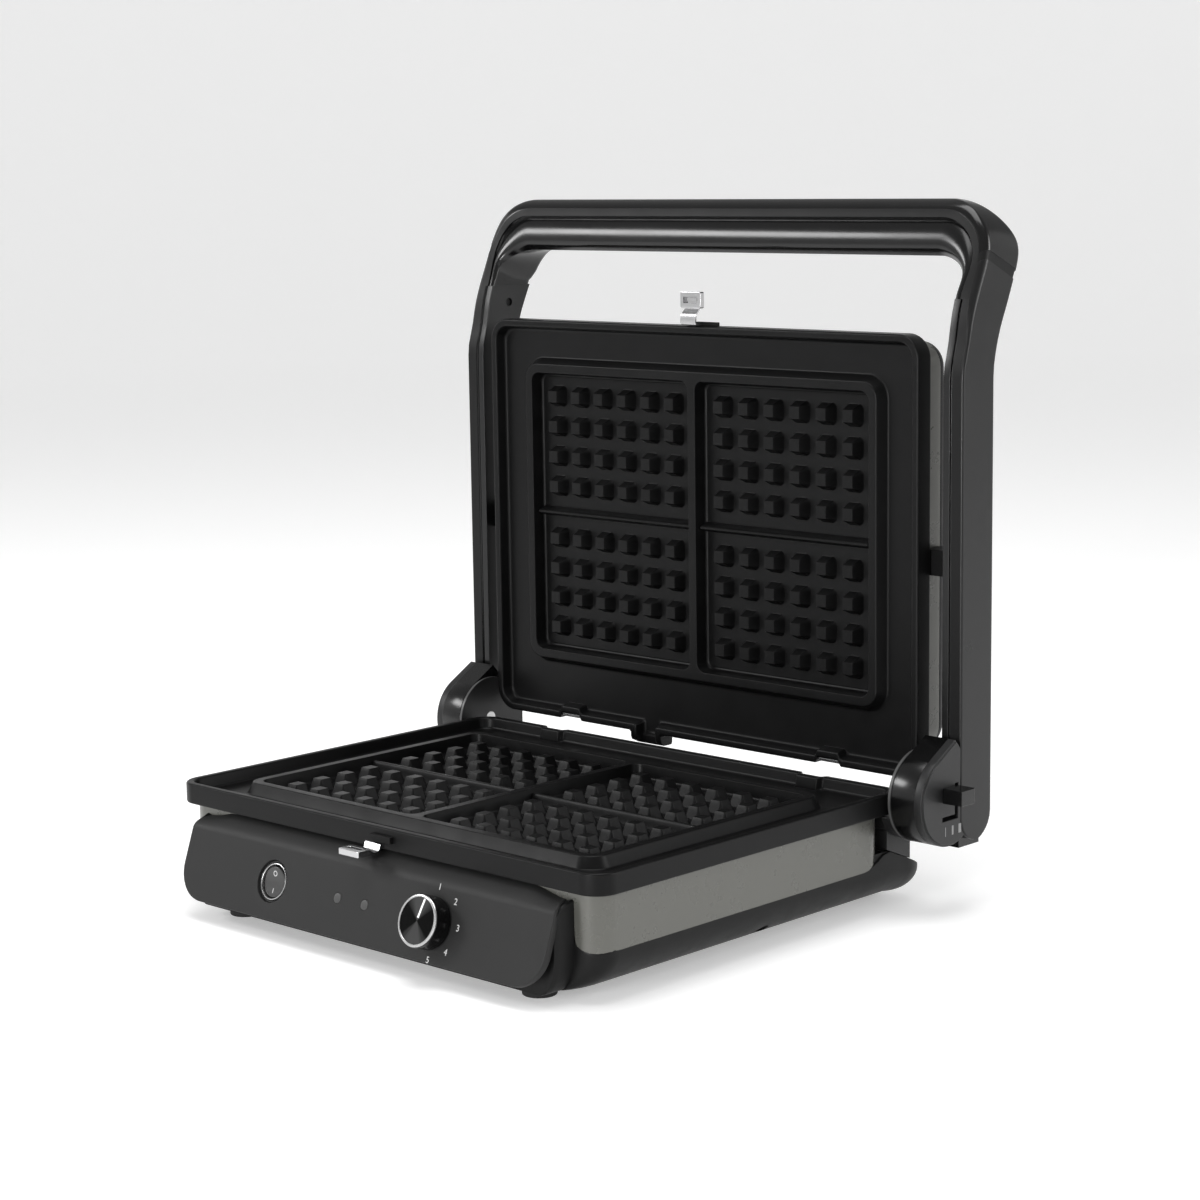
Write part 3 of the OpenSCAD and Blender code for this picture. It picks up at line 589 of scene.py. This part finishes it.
def smooth_at(table, z):
    """Cubic interpolation through a table of (height, value)."""
    n = len(table)
    for i in range(n - 1):
        if z <= table[i + 1][0] or i == n - 2:
            z0, v0 = table[i]
            z1, v1 = table[i + 1]
            h = z1 - z0
            m0 = (v1 - table[i - 1][1]) / (z1 - table[i - 1][0]) if i > 0 else 0.0
            m1 = (table[i + 2][1] - v0) / (table[i + 2][0] - z0) if i < n - 2 else (v1 - v0) / h
            if i == 0:
                m1 = 0.0
            t = min(1.0, max(0.0, (z - z0) / h))
            return ((2 * t ** 3 - 3 * t ** 2 + 1) * v0 + (t ** 3 - 2 * t ** 2 + t) * h * m0
                    + (-2 * t ** 3 + 3 * t ** 2) * v1 + (t ** 3 - t ** 2) * h * m1)
    return table[-1][1]


OUT_X, IN_X = 168.5, 156.5              # faces of a leg
TRIM_X = 160.5                          # seam between a leg and its inner trim
OUT_R, IN_R = 28.0, 18.0                # corner radii of the U
BAR_LOW, BAR_TOP = 257.5, 284.8
LEG_END = BAR_TOP - OUT_R               # where the outer corner starts
BEND_END = LEG_END + OUT_R * math.pi / 2
FOOT_Z, FOOT_Y, FOOT_R = -10.9, 139.3, 13.1
TRIM_TOP = 238.0
SEAM = (251.9, 256.3)                   # band between a leg and the bar's cover
SEAM_DROP = 11.8                        # how much lower the seam is at the back


def along_handle(u):
    """Outer and inner point of the right half of the U at path length u."""
    bend_start = BAR_LOW - IN_R
    beta = math.pi / 2 * min(1.0, max(0.0, (u - bend_start) / (BEND_END - bend_start)))
    inner = (IN_X - IN_R + IN_R * math.cos(beta), min(u, bend_start) + IN_R * math.sin(beta))
    if u <= LEG_END:
        return (OUT_X, u), inner
    if u <= BEND_END:
        a = (u - LEG_END) / OUT_R
        return (OUT_X - OUT_R + OUT_R * math.cos(a), LEG_END + OUT_R * math.sin(a)), inner
    run = u - BEND_END
    return (OUT_X - OUT_R - run, BAR_TOP), (IN_X - IN_R - run * (IN_X - IN_R) / (OUT_X - OUT_R), BAR_LOW)


def side_front(z):
    if z < FOOT_Z:
        return FOOT_Y - math.sqrt(max(0.0, FOOT_R ** 2 - (z - FOOT_Z) ** 2))
    return smooth_at(SIDE_FRONT, z)


def side_back(z):
    if z < FOOT_Z:
        return FOOT_Y + math.sqrt(max(0.0, FOOT_R ** 2 - (z - FOOT_Z) ** 2))
    return smooth_at(SIDE_BACK, z)


def step(a, b, x):
    """Smooth step from 0 at a to 1 at b."""
    t = min(1.0, max(0.0, (x - a) / (b - a)))
    return t * t * (3 - 2 * t)


def handle_section(w, d, u, sunk):
    """Outline across the handle as (inwards, backwards, material); materials: 0 cover, 1 band, 2 leg."""
    t = step(206, 262, u)
    side = 2 if u < SEAM[0] else (1 if u < SEAM[1] else 0)
    r = 1.2 + 3.6 * t
    g = min(8.0 + 0.8 * t, w - 0.9)
    pts = []
    for k in range(7):
        a = math.pi / 2 * k / 6
        pts.append((sunk + r - r * math.cos(a), r - r * math.sin(a), side))
    pts[-1] = (pts[-1][0], pts[-1][1], 1)
    pts += [(g - 0.35, 0.0, 1), (g - 0.05, 0.12, 0)]
    room = w - g - 0.5
    deep = (1.3 if room > 1.5 else 0.35) * (0.3 + 0.7 * t)
    pts += [(g + 0.08 * min(room, 1), deep * 0.8, 0), (g + 0.3 * min(room, 1), deep, 0)]
    bulge = step(10.0, 26.0, w)
    crown = 0.35 + 3.0 * bulge
    face = g + 0.3 * min(room, 1)
    for k in range(1, 15):
        c = k / 14
        n = face + (w - 0.6 - face) * c
        pts.append((n, 0.25 * t + crown * abs(2 * c - 1.05) ** 2.2 + 0.9 * bulge * max(0, c - 0.85) * 8, 0))
    last = pts[-1][1]
    pts += [(w - 0.15, last + 0.5, 0), (w, last + 1.3, 0), (w, d * 0.5, 0), (w, d - 3.0, 0)]
    pts += [(w - 3.0 * min(1, w / 12) * (1 - math.cos(a)), d - 3.0 + 3.0 * math.sin(a), 0) for a in
            [math.pi / 2 * k / 5 for k in range(1, 6)]]
    pts += [(sunk + 2.6 - 2.6 * math.sin(a), d - sunk - 2.6 + 2.6 * math.cos(a), side) for a in
            [math.pi / 2 * k / 5 for k in range(6)]]
    pts += [(sunk, d * 0.5, side)]
    return pts


def handle_loop(u, narrow, sunk, mirror):
    """Points and face materials of one ring round the handle."""
    (ox, oz), (ix, iz) = along_handle(u)
    w = OUT_X - TRIM_X - 0.25 if narrow else math.hypot(ox - ix, oz - iz)
    depth = side_back((oz + iz) / 2) - side_front((oz + iz) / 2)
    nominal = max(depth, 14.0)
    lean = step(TRIM_TOP + 0.5, 250, u) * (1 - step(256.5, BEND_END, u)) * SEAM_DROP
    pts, mats = [], []
    for n, q, m in handle_section(w, nominal, u, sunk):
        (ax, az), (bx, bz) = along_handle(u + lean * (0.5 - q / nominal))
        a = n / math.hypot(ax - bx, az - bz) if not narrow else n / (OUT_X - IN_X)
        x, z = ax + (bx - ax) * a, az + (bz - az) * a
        f, k = side_front(z), side_back(z)
        pts.append((-x if mirror else x, f + (k - f) * q / nominal, z))
        mats.append(m)
    return pts, mats


FOOT_STEPS = [FOOT_Z - FOOT_R * math.cos(math.radians(a)) for a in (3, 10, 18, 27, 37, 48, 60, 75, 90)]
# Rings round the handle: path length, whether it is narrowed for the trim, how far its outer face is sunk.
LEG_STEPS = [40, 100, 160, 200, 206, 212, 218, 224, 229, 234, TRIM_TOP - 0.02]
RINGS = [(z, True, 0.0) for z in FOOT_STEPS + LEG_STEPS]
RINGS += [(u, False, 0.0) for u in (TRIM_TOP, 241, 244, 247, 249.5, SEAM[0] - 0.2)]
RINGS += [(SEAM[0], False, 0.35), (SEAM[1] - 0.2, False, 0.35), (SEAM[1], False, 0.0)]
RINGS += [(SEAM[1] + (BEND_END - SEAM[1]) * k / 26, False, 0.0) for k in range(1, 27)]
RINGS += [(BEND_END + r, False, 0.0) for r in (10, 30, 60, 90, 120)]
rings = [handle_loop(u, narrow, sunk, False) for u, narrow, sunk in RINGS]
rings.append(handle_loop(BEND_END + OUT_X - OUT_R, False, 0.0, False))
rings += [handle_loop(u, narrow, sunk, True) for u, narrow, sunk in reversed(RINGS)]
b = Build()
ids = [b.points(pts) for pts, mats in rings]
for i in range(len(rings) - 1):
    b.bridge(ids[i], ids[i + 1], mats=rings[i][1] if i < len(RINGS) else rings[i + 1][1])
b.f.append(tuple(reversed(ids[0])))
b.f.append(tuple(ids[-1]))
b.piece("u_handle", "handle_arm", (M["gloss"], M["band"], M["leg"]),
        ("arm_frame", "handle_grip"), sharp=30)


def leg_outline(y0, y1, z0, z1, r, i, n=14):
    """Side view of a leg's trim: a round foot, then the handle's bend; i moves it in."""
    c = (y0 + y1) / 2
    rad = (y1 - y0) / 2 - i
    pts = [(c + rad * math.cos(math.radians(a)), z0 + r + rad * math.sin(math.radians(a)))
           for a in [180 + 180 * k / n for k in range(n + 1)]]
    heights = [60, 140, 200, 206, 212, 218, 224, 231, z1]
    pts += [(side_back(z) - 0.2 - i, z) for z in heights]
    return pts + [(side_front(z) + 0.4 + i, z) for z in reversed(heights)]


TRIM_STATIONS = ((156.5, 0.5), (156.6, 0.2), (156.9, 0), (159.9, 0), (160.3, 0.15), (160.5, 0.6))
SCREW_Y, SCREW_Z, SCREW_R = 147.6, 228.7, 2.3

for side, word in ((-1, "left"), (1, "right")):
    b = Build()
    b.loft([[(side * x, y, z) for y, z in leg_outline(126.6, 152.2, -23.6, TRIM_TOP - 0.01, 12.8, inset)]
            for x, inset in TRIM_STATIONS], cap_first=True, cap_last=True)
    hole = Build()
    circle = [(SCREW_Y + SCREW_R * math.cos(a), SCREW_Z + SCREW_R * math.sin(a)) for a in turn(32)]
    hole.loft([[(side * x, y, z) for y, z in circle] for x in (150, 159.4)], cap_first=True, cap_last=True)
    b.piece(f"{word}_leg_trim", "handle_arm", M["leg"], (f"arm_trim_{word}",), sharp=38,
            cuts=(hole,) if side < 0 else ())

# ------------------------------------------------------------------ control panel

PANEL_X = 125.2                         # half width
PANEL_TOP, PANEL_LOW = 15.7, -18.4      # upper and lower edge, measured up the panel
PANEL_R = 17.0                          # lower corners
KNOB = (53.3, -0.3)
SWITCH = (-58.5, 0.0)
LAMPS = {"power": -11.4, "ready": 7.4}
PANEL_EDGE = [(0.5, -4.2), (0.1, -3.2), (0.0, -1.3), (0.04, -0.8), (0.18, -0.35), (0.45, -0.08), (0.9, 0.0)]
MIDDLE = (-119, -114, -108, -102, -60, 0, 60, 102, 108, 114, 119)
BENDS = 12                              # rows in the bend at the top


def panel_outline(i, n=12):
    """Open path from the upper left, round the lower corners, to the upper right; i moves it in."""
    x, r = PANEL_X - i, PANEL_R - i
    corner_up = PANEL_LOW + PANEL_R
    pts = [(-x, PANEL_TOP), (-x, 8)] + arc(r - x, corner_up, r, 180, 270, n)
    pts += [(-60, PANEL_LOW + i), (0, PANEL_LOW + i), (60, PANEL_LOW + i)]
    return pts + arc(x - r, corner_up, r, 270, 360, n) + [(x, 8), (x, PANEL_TOP)]


def circle_on_panel(cx, up, r, out, n=64):
    return [on_panel(cx + r * math.cos(a), up + r * math.sin(a), out) for a in turn(n)]


def bend_point(t):
    """Curve from the panel's upper edge back to the grey shell, as (y, z)."""
    _, y0, z0 = on_panel(0, PANEL_TOP, 0)
    ctrl = ((y0, z0), (y0 + 4.0 * PU[1], z0 + 4.0 * PU[2]), (-105.2, -12.6), (-99.9, -12.6))
    w = ((1 - t) ** 3, 3 * t * (1 - t) ** 2, 3 * t * t * (1 - t), t ** 3)
    return sum(a * c[0] for a, c in zip(w, ctrl)), sum(a * c[1] for a, c in zip(w, ctrl))


def bend_lift(x, t):
    """How much higher the bend runs between the panel's two ends."""
    u = min(max((122 - abs(x)) / 20, 0), 1)
    return 3.4 * t * t * u * u * (3 - 2 * u)


def bend_row(t):
    """One row across the bend: left edge, middle, right edge."""
    y, z = bend_point(t)
    half = PANEL_X - 2.6 * t ** 2
    row = [(ins - half, y - out * 0.35, z + out * 0.9) for ins, out in PANEL_EDGE]
    row += [(x, y, z + bend_lift(x, t)) for x in MIDDLE]
    return row + [(half - ins, y - out * 0.35, z + out * 0.9) for ins, out in reversed(PANEL_EDGE)]


b = Build()
ids = [b.points([on_panel(x, up, out) for x, up in panel_outline(i)]) for i, out in PANEL_EDGE]
for p, q in zip(ids, ids[1:]):
    b.bridge(p, q, closed=False)
mid = b.points([on_panel(x, PANEL_TOP, 0.0) for x in MIDDLE])
rows = [[ring[0] for ring in ids] + mid + [ring[-1] for ring in reversed(ids)]]
rows += [b.points(bend_row(k / BENDS)) for k in range(1, BENDS + 1)]
for p, q in zip(rows, rows[1:]):
    b.bridge(p, q, closed=False)
wells = []
for cx, r in ((SWITCH[0], 10.3), (LAMPS["power"], 2.5), (LAMPS["ready"], 2.5)):
    hole = [b.points(circle_on_panel(cx, 0, rad, out)) for rad, out in
            ((r + 0.35, 0.0), (r + 0.1, -0.12), (r, -0.4), (r, -3.0))]
    for p, q in zip(hole, hole[1:]):
        b.bridge(p, q)
    wells.append(hole[0])
b.piece("control_fascia", "base", M["console"], ("control_panel",), sharp=38,
        fills=[[ids[-1] + mid[::-1]] + wells])

# ------------------------------------------------------------------ dial digits and switch marks


def flat_text(word, x, up, size, name):
    """A thin printed character lying on the panel."""
    c = bpy.data.curves.new(name, "FONT")
    c.body = word
    c.size = size / 1000
    c.align_x = "CENTER"
    c.align_y = "CENTER"
    c.extrude = 0.00004
    tmp = bpy.data.objects.new(name, c)
    bpy.context.scene.collection.objects.link(tmp)
    bpy.context.view_layer.update()
    me = bpy.data.meshes.new_from_object(tmp)
    bpy.data.objects.remove(tmp)
    o = metres(on_panel(x, up, 0.06))
    rot = Matrix(((1, 0, 0), (0, PU[1], PN[1]), (0, PU[2], PN[2])))
    me.transform(Matrix.Translation(o) @ rot.to_4x4())
    ob = bpy.data.objects.new(name, me)
    bpy.context.scene.collection.objects.link(ob)
    me.materials.append(M["print"])
    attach(ob, "base")


DIGIT_R, DIGIT_SIZE = 16.6, 4.3
for digit, ang in ((1, 0), (2, 45), (3, 88), (4, 132), (5, 172)):
    a = math.radians(ang)
    flat_text(str(digit), KNOB[0] + DIGIT_R * math.sin(a), KNOB[1] + DIGIT_R * math.cos(a), DIGIT_SIZE,
              f"dial_digit_{digit}")

# ------------------------------------------------------------------ knob


def lathe(b, profile, centre, n=128):
    """Turns (radius, height) pairs round the panel's normal at centre (x, up)."""
    loops = [circle_on_panel(centre[0], centre[1], max(r, 0.01), h, n) for r, h in profile]
    return b.loft(loops, cap_last=profile[-1][0] < 0.5, cap_first=profile[0][0] < 0.5)


b = Build()
lathe(b, [(0.02, 0.5), (11.7, 0.5), (12.2, 0.8), (12.3, 1.4), (12.3, 9.0), (12.12, 9.35), (11.9, 9.45)], KNOB)
b.piece("knob_skirt", "knob", M["gloss"], ("knob",))
b = Build()
lathe(b, [(11.9, 9.3), (12.0, 9.55), (11.75, 9.9), (11.2, 10.12), (10.9, 10.1), (10.75, 9.95), (10.7, 9.6)],
      KNOB)
b.piece("knob_ring", "knob", M["ring"])
b = Build()
lathe(b, [(10.72, 9.5), (10.72, 9.7), (10.4, 9.72), (6.0, 9.74), (0.02, 9.76)], KNOB)
# knob face: dark turned metal with a painted glint in its colour
b.piece("knob_face", "knob", disc_material(metres(on_panel(KNOB[0], KNOB[1], 9.7))),
        ("knob_disc",))
b = Build()
ca, sa = math.cos(math.radians(-12)), math.sin(math.radians(-12))
bar = []
for out, i in ((9.6, 0.0), (9.95, 0.0), (10.02, 0.12)):
    q = [(-0.5 + i, 1.4 + i), (0.5 - i, 1.4 + i), (0.5 - i, 10.4 - i), (-0.5 + i, 10.4 - i)]
    bar.append([on_panel(KNOB[0] + x * ca - y * sa, KNOB[1] + x * sa + y * ca, out) for x, y in q])
b.loft(bar, cap_first=True, cap_last=True)
b.piece("knob_line", "knob", M["white"], ("knob_pointer",))

# ------------------------------------------------------------------ switch

TIP = math.radians(6)                   # how far the rocker is tipped
ROCKER_R, ROCKER_IN = 7.4, -3.4         # radius, and the depth of its middle in the panel


def rocker_point(x, y, h):
    """A point on the tipped rocker."""
    c, s = math.cos(TIP), math.sin(TIP)
    return on_panel(SWITCH[0] + x, y * c - h * s, ROCKER_IN + y * s + h * c)


def rocker_h(y):
    """Height of the rocker's hollow face."""
    return 1.55 + 0.8 * (abs(y) / ROCKER_R) ** 1.6


b = Build()
lathe(b, [(10.25, -3.4), (10.25, -1.9), (9.95, -1.6), (9.0, -2.1), (8.85, -2.0)], SWITCH)
b.piece("switch_well", "base", M["satin"])
b = Build()
lathe(b, [(8.9, -2.3), (8.9, -1.25), (8.75, -0.95), (8.45, -0.85), (8.25, -1.0), (8.2, -1.4), (8.2, -5.4)],
      SWITCH)
b.piece("switch_ring", "base", M["ring"], ("switch_bezel",))
b = Build()
rings = [[rocker_point(ROCKER_R * math.cos(a), ROCKER_R * math.sin(a), -1.2) for a in turn(72)]]
FACE_EDGE = [(ROCKER_R, 0.5), (7.3, 0.2), (7.05, 0.04)]
for rad, drop in FACE_EDGE + [(r, 0.0) for r in (6.7, 5.5, 4.0, 2.5, 1.2, 0.05)]:
    rings.append([rocker_point(rad * math.cos(a), rad * math.sin(a), rocker_h(rad * math.sin(a)) - drop)
                  for a in turn(72)])
b.loft(rings, cap_first=True, cap_last=True)
b.piece("rocker_face", "rocker", M["rocker"], ("rocker_switch",))
MARK_H, OFF_Y = 0.06, 4.1               # thickness of the marks, middle of the round one
b = Build()
loops = []
for rad, lift in ((0.95, 0.0), (0.95, MARK_H), (1.35, MARK_H), (1.35, 0.0)):
    circle = [(rad * math.cos(a), OFF_Y + rad * math.sin(a)) for a in turn(32)]
    loops.append([rocker_point(x, y, rocker_h(y) + lift) for x, y in circle])
b.loft(loops)
ON_BAR = ((-0.2, -5.3), (0.2, -5.3), (0.2, -3.0), (-0.2, -3.0))
b.loft([[rocker_point(x, y, rocker_h(y) + lift) for x, y in ON_BAR] for lift in (-0.02, MARK_H)],
       cap_last=True)
b.piece("rocker_marks", "rocker", M["print"])

for word, cx in LAMPS.items():
    b = Build()
    lathe(b, [(2.44, -2.4), (2.44, -0.1), (2.3, 0.08), (1.7, 0.17), (0.02, 0.22)], (cx, 0.0), 48)
    b.piece(f"{word}_lamp_lens", "base", M["lens"], (f"{word}_lamp",))

# ------------------------------------------------------------------ CAD pieces that keep their shape


def dress(node, mat, bevel):
    """Material and, where bevel is not 0, rounded edges of that many millimetres."""
    ob = NODES[node]
    ob.data.materials.clear()
    ob.data.materials.append(mat)
    if bevel:
        w = ob.modifiers.new("weld", "WELD")
        w.merge_threshold = 1e-6
        d = ob.modifiers.new("flats", "DECIMATE")
        d.decimate_type = "DISSOLVE"
        d.angle_limit = math.radians(0.5)
        v = ob.modifiers.new("edges", "BEVEL")
        v.width = bevel / 1000
        v.segments = 3
        v.limit_method = "ANGLE"
        v.angle_limit = math.radians(35)
        v.harden_normals = False
        v.use_clamp_overlap = True


for key, bevel, nodes in (
        ("satin", 0.4, "hinge_bracket_left hinge_bracket_right"),
        ("satin", 0.3, "hinge_cap_left hinge_cap_right"),
        ("matte", 0.4, "base_cover cord_gland"),
        ("matte", 0.5, "pivot_blocks"),
        ("matte", 0.0, "switch_body"),
        ("gloss", 0.4, "hinge_drum_left hinge_drum_right"),
        ("gloss", 0.8, "height_lever"),
        ("steel", 0.3, "hinge_pin_left hinge_pin_right"),
        ("steel", 0.0, "base_screws upper_cover_screws thermostat_body thermostat_shaft thermal_fuse"),
        ("steel", 0.0, "float_pin_left float_pin_right"),
        ("chrome", 0.2, "lower_plate_hooks upper_plate_hooks"),
        ("dark", 0.2, "lower_latch_seat upper_latch_seat"),
        ("dark", 0.0, "arm_screws"),
        ("sheet", 0.0, "lower_reflector upper_reflector"),
        ("heater", 0.0, "lower_heating_element upper_heating_element"),
        ("rubber", 0.6, "feet"),
        ("ceramic", 0.4, "terminal_block")):
    for node in nodes.split():
        dress(node, M[key], bevel)

# ------------------------------------------------------------------ clasps and hinge marks


CLASP_X, CLASP_Y = 3.45, -117.2         # middle of a clasp's box


def clasp(name, body, place, low, neck, node):
    """A small box with a slot in its face, on a strip that bends into the plate's edge."""
    b = Build(place)
    box = [(13.1, 7.8, 0.5, low), (13.7, 8.4, 0.8, low + 0.35), (13.7, 8.4, 0.8, low + 2.8),
           (13.4, 8.1, 0.65, low + 3.1), (12.9, 7.6, 0.5, low + 3.2)]
    outer = b.loft([rr(w, d, r, z, CLASP_X, CLASP_Y, 3) for w, d, r, z in box], cap_first=True)
    slot = b.loft([rr(w, d, 0.3, z, CLASP_X, CLASP_Y, 3) for w, d, z in
                   ((9.6, 3.2, low + 3.2), (9.4, 3.0, low + 3.0), (9.4, 3.0, low + 1.2))], cap_last=True)
    b.loft([rr(6.4, 1.5, 0.3, z, CLASP_X + 0.8, CLASP_Y - 0.3, 3) for z in (low + 1.1, low + 2.6)],
           cap_last=True)
    strip = []
    for k, (v, w) in enumerate(neck):
        v0, w0 = neck[max(k - 1, 0)]
        v1, w1 = neck[min(k + 1, len(neck) - 1)]
        h = math.hypot(v1 - v0, w1 - w0)
        ny, nz = (w1 - w0) / h * 0.4, (v1 - v0) / h * 0.4
        x0, x1 = -1.5 - 0.25 * k, 8.3 - 0.15 * k
        strip.append([(x0, -v - ny, w - nz), (x1, -v - ny, w - nz), (x1, -v + ny, w + nz),
                      (x0, -v + ny, w + nz)])
    b.loft(strip, cap_first=True, cap_last=True)
    b.piece(name, body, M["chrome"], (node,), fills=[(outer[-1], slot[0])])


clasp("upper_clasp", "upper_latch", stood_up, 1.9, [
    (113.2, 3.1), (112.3, 3.2), (111.4, 3.9), (110.3, 4.9), (109.1, 5.3), (107.4, 5.4), (106.0, 5.3),
    (105.1, 4.6), (104.6, 3.2), (104.5, 1.0), (104.4, -2.0)], "upper_latch")
clasp("lower_clasp", "lower_latch", lambda p: p, -9.0, [
    (113.2, -7.6), (112.0, -7.7), (110.8, -8.4), (109.4, -9.2), (107.8, -9.5), (106.4, -9.2), (105.4, -8.2),
    (104.8, -7.0), (104.3, -6.2), (103.9, -5.9)], "lower_latch")

for k, wide in enumerate((0.45, 1.3, 2.1)):
    y = 114.0 + 5.75 * k
    b = Build()
    loops = []
    for x, i in ((168.4, 0), (168.55, 0), (168.58, 0.03)):
        y0, y1, z0, z1 = y - wide / 2 + i, y + wide / 2 - i, -18 + i, -13.5 - i
        loops.append([(x, y0, z0), (x, y1, z0), (x, y1, z1), (x, y0, z1)])
    b.loft(loops, cap_first=True, cap_last=True)
    b.piece(f"height_mark_{k + 1}", "handle_arm", M["mark"])

HINGE_RING = ((147.9, 20.5), (147.72, 22.4), (147.9, 22.85), (149.1, 22.85), (149.3, 22.4), (149.3, 20.5))
for side, word in ((-1, "left"), (1, "right")):
    b = Build()
    b.loft([[(side * x, HY + r * math.cos(a), HZ + r * math.sin(a)) for a in turn(96)]
            for x, r in HINGE_RING])
    b.piece(f"hinge_ring_{word}", "base", M["ring_dark"])

# ------------------------------------------------------------------ floor, light, camera

floor_mat = principled("pale_floor", (0.82, 0.82, 0.82), 0.7, spec=0.2, grain=0.02, grain_mm=2)
floor_mat.node_tree.nodes["Principled BSDF"].inputs["Emission Color"].default_value = (1, 1, 1, 1)
floor_mat.node_tree.nodes["Principled BSDF"].inputs["Emission Strength"].default_value = 0.32
FLOOR_R, CURVE_R, WALL_H = 4.0, 2.0, 3.0
profile = [(0.0, 0.0), (FLOOR_R, 0.0)]
profile += [(FLOOR_R + CURVE_R * math.sin(math.radians(a)), CURVE_R - CURVE_R * math.cos(math.radians(a)))
            for a in range(6, 91, 6)]
profile.append((FLOOR_R + CURVE_R, WALL_H))
me = bpy.data.meshes.new("floor")
bm = bmesh.new()
turns = [[bm.verts.new((max(r, 0.001) * math.cos(a), max(r, 0.001) * math.sin(a), z)) for a in turn(96)]
         for r, z in profile]
for p, q in zip(turns, turns[1:]):
    for k in range(96):
        bm.faces.new((p[k], q[k], q[(k + 1) % 96], p[(k + 1) % 96])).smooth = True
bm.faces.new(turns[0])
bm.to_mesh(me)
bm.free()
floor = bpy.data.objects.new("floor", me)
bpy.context.scene.collection.objects.link(floor)
me.materials.append(floor_mat)

world = bpy.data.worlds.new("studio")
bpy.context.scene.world = world
world.use_nodes = True
world.node_tree.nodes["Background"].inputs["Color"].default_value = (1, 1, 1, 1)
world.node_tree.nodes["Background"].inputs["Strength"].default_value = 0.38


def area(name, loc, target, size, power, size_y=None):
    """A square softbox aimed at target, or an upright one where size_y is given."""
    lamp = bpy.data.lights.new(name, "AREA")
    lamp.energy = power
    lamp.size = size
    if size_y:
        lamp.shape = "RECTANGLE"
        lamp.size_y = size_y
    o = bpy.data.objects.new(name, lamp)
    o.location = loc
    o.rotation_euler = (Vector(target) - Vector(loc)).to_track_quat("-Z", "Y").to_euler()
    bpy.context.scene.collection.objects.link(o)


area("top_box", (0.1, -0.1, 1.6), (0, 0, 0.05), 1.1, 17)
area("left_box", (-1.22, -1.04, 0.96), (0, 0.13, 0.33), 0.6, 9, 0.35)
area("front_strip", (0.36, -1.8, 0.31), (0.12, -0.12, 0.02), 0.14, 16, 0.6)
area("right_strip", (1.7, 0.9, 0.7), (0.15, 0.1, 0.15), 0.45, 14, 1.3)

cam = bpy.data.cameras.new("camera")
cam.sensor_width = 36
cam.lens = 82.41
cam.clip_start = 0.05
cam_ob = bpy.data.objects.new("camera", cam)
bpy.context.scene.collection.objects.link(cam_ob)
# bearing, downward tilt and roll of the photo's view
AZ, EL, ROLL = math.radians(43.559), math.radians(9.011), math.radians(-0.844)
fwd = Vector((-math.sin(AZ) * math.cos(EL), math.cos(AZ) * math.cos(EL), -math.sin(EL)))
right = Vector((math.cos(AZ), math.sin(AZ), 0))
up = right.cross(fwd)
r2 = right * math.cos(ROLL) + up * math.sin(ROLL)
u2 = -right * math.sin(ROLL) + up * math.cos(ROLL)
rot = Matrix((r2, u2, -fwd)).transposed().to_4x4()
cam_ob.matrix_world = Matrix.Translation(metres((935.18, -930.66, 303.45))) @ rot
bpy.context.scene.camera = cam_ob
bpy.context.scene.view_settings.view_transform = "Standard"
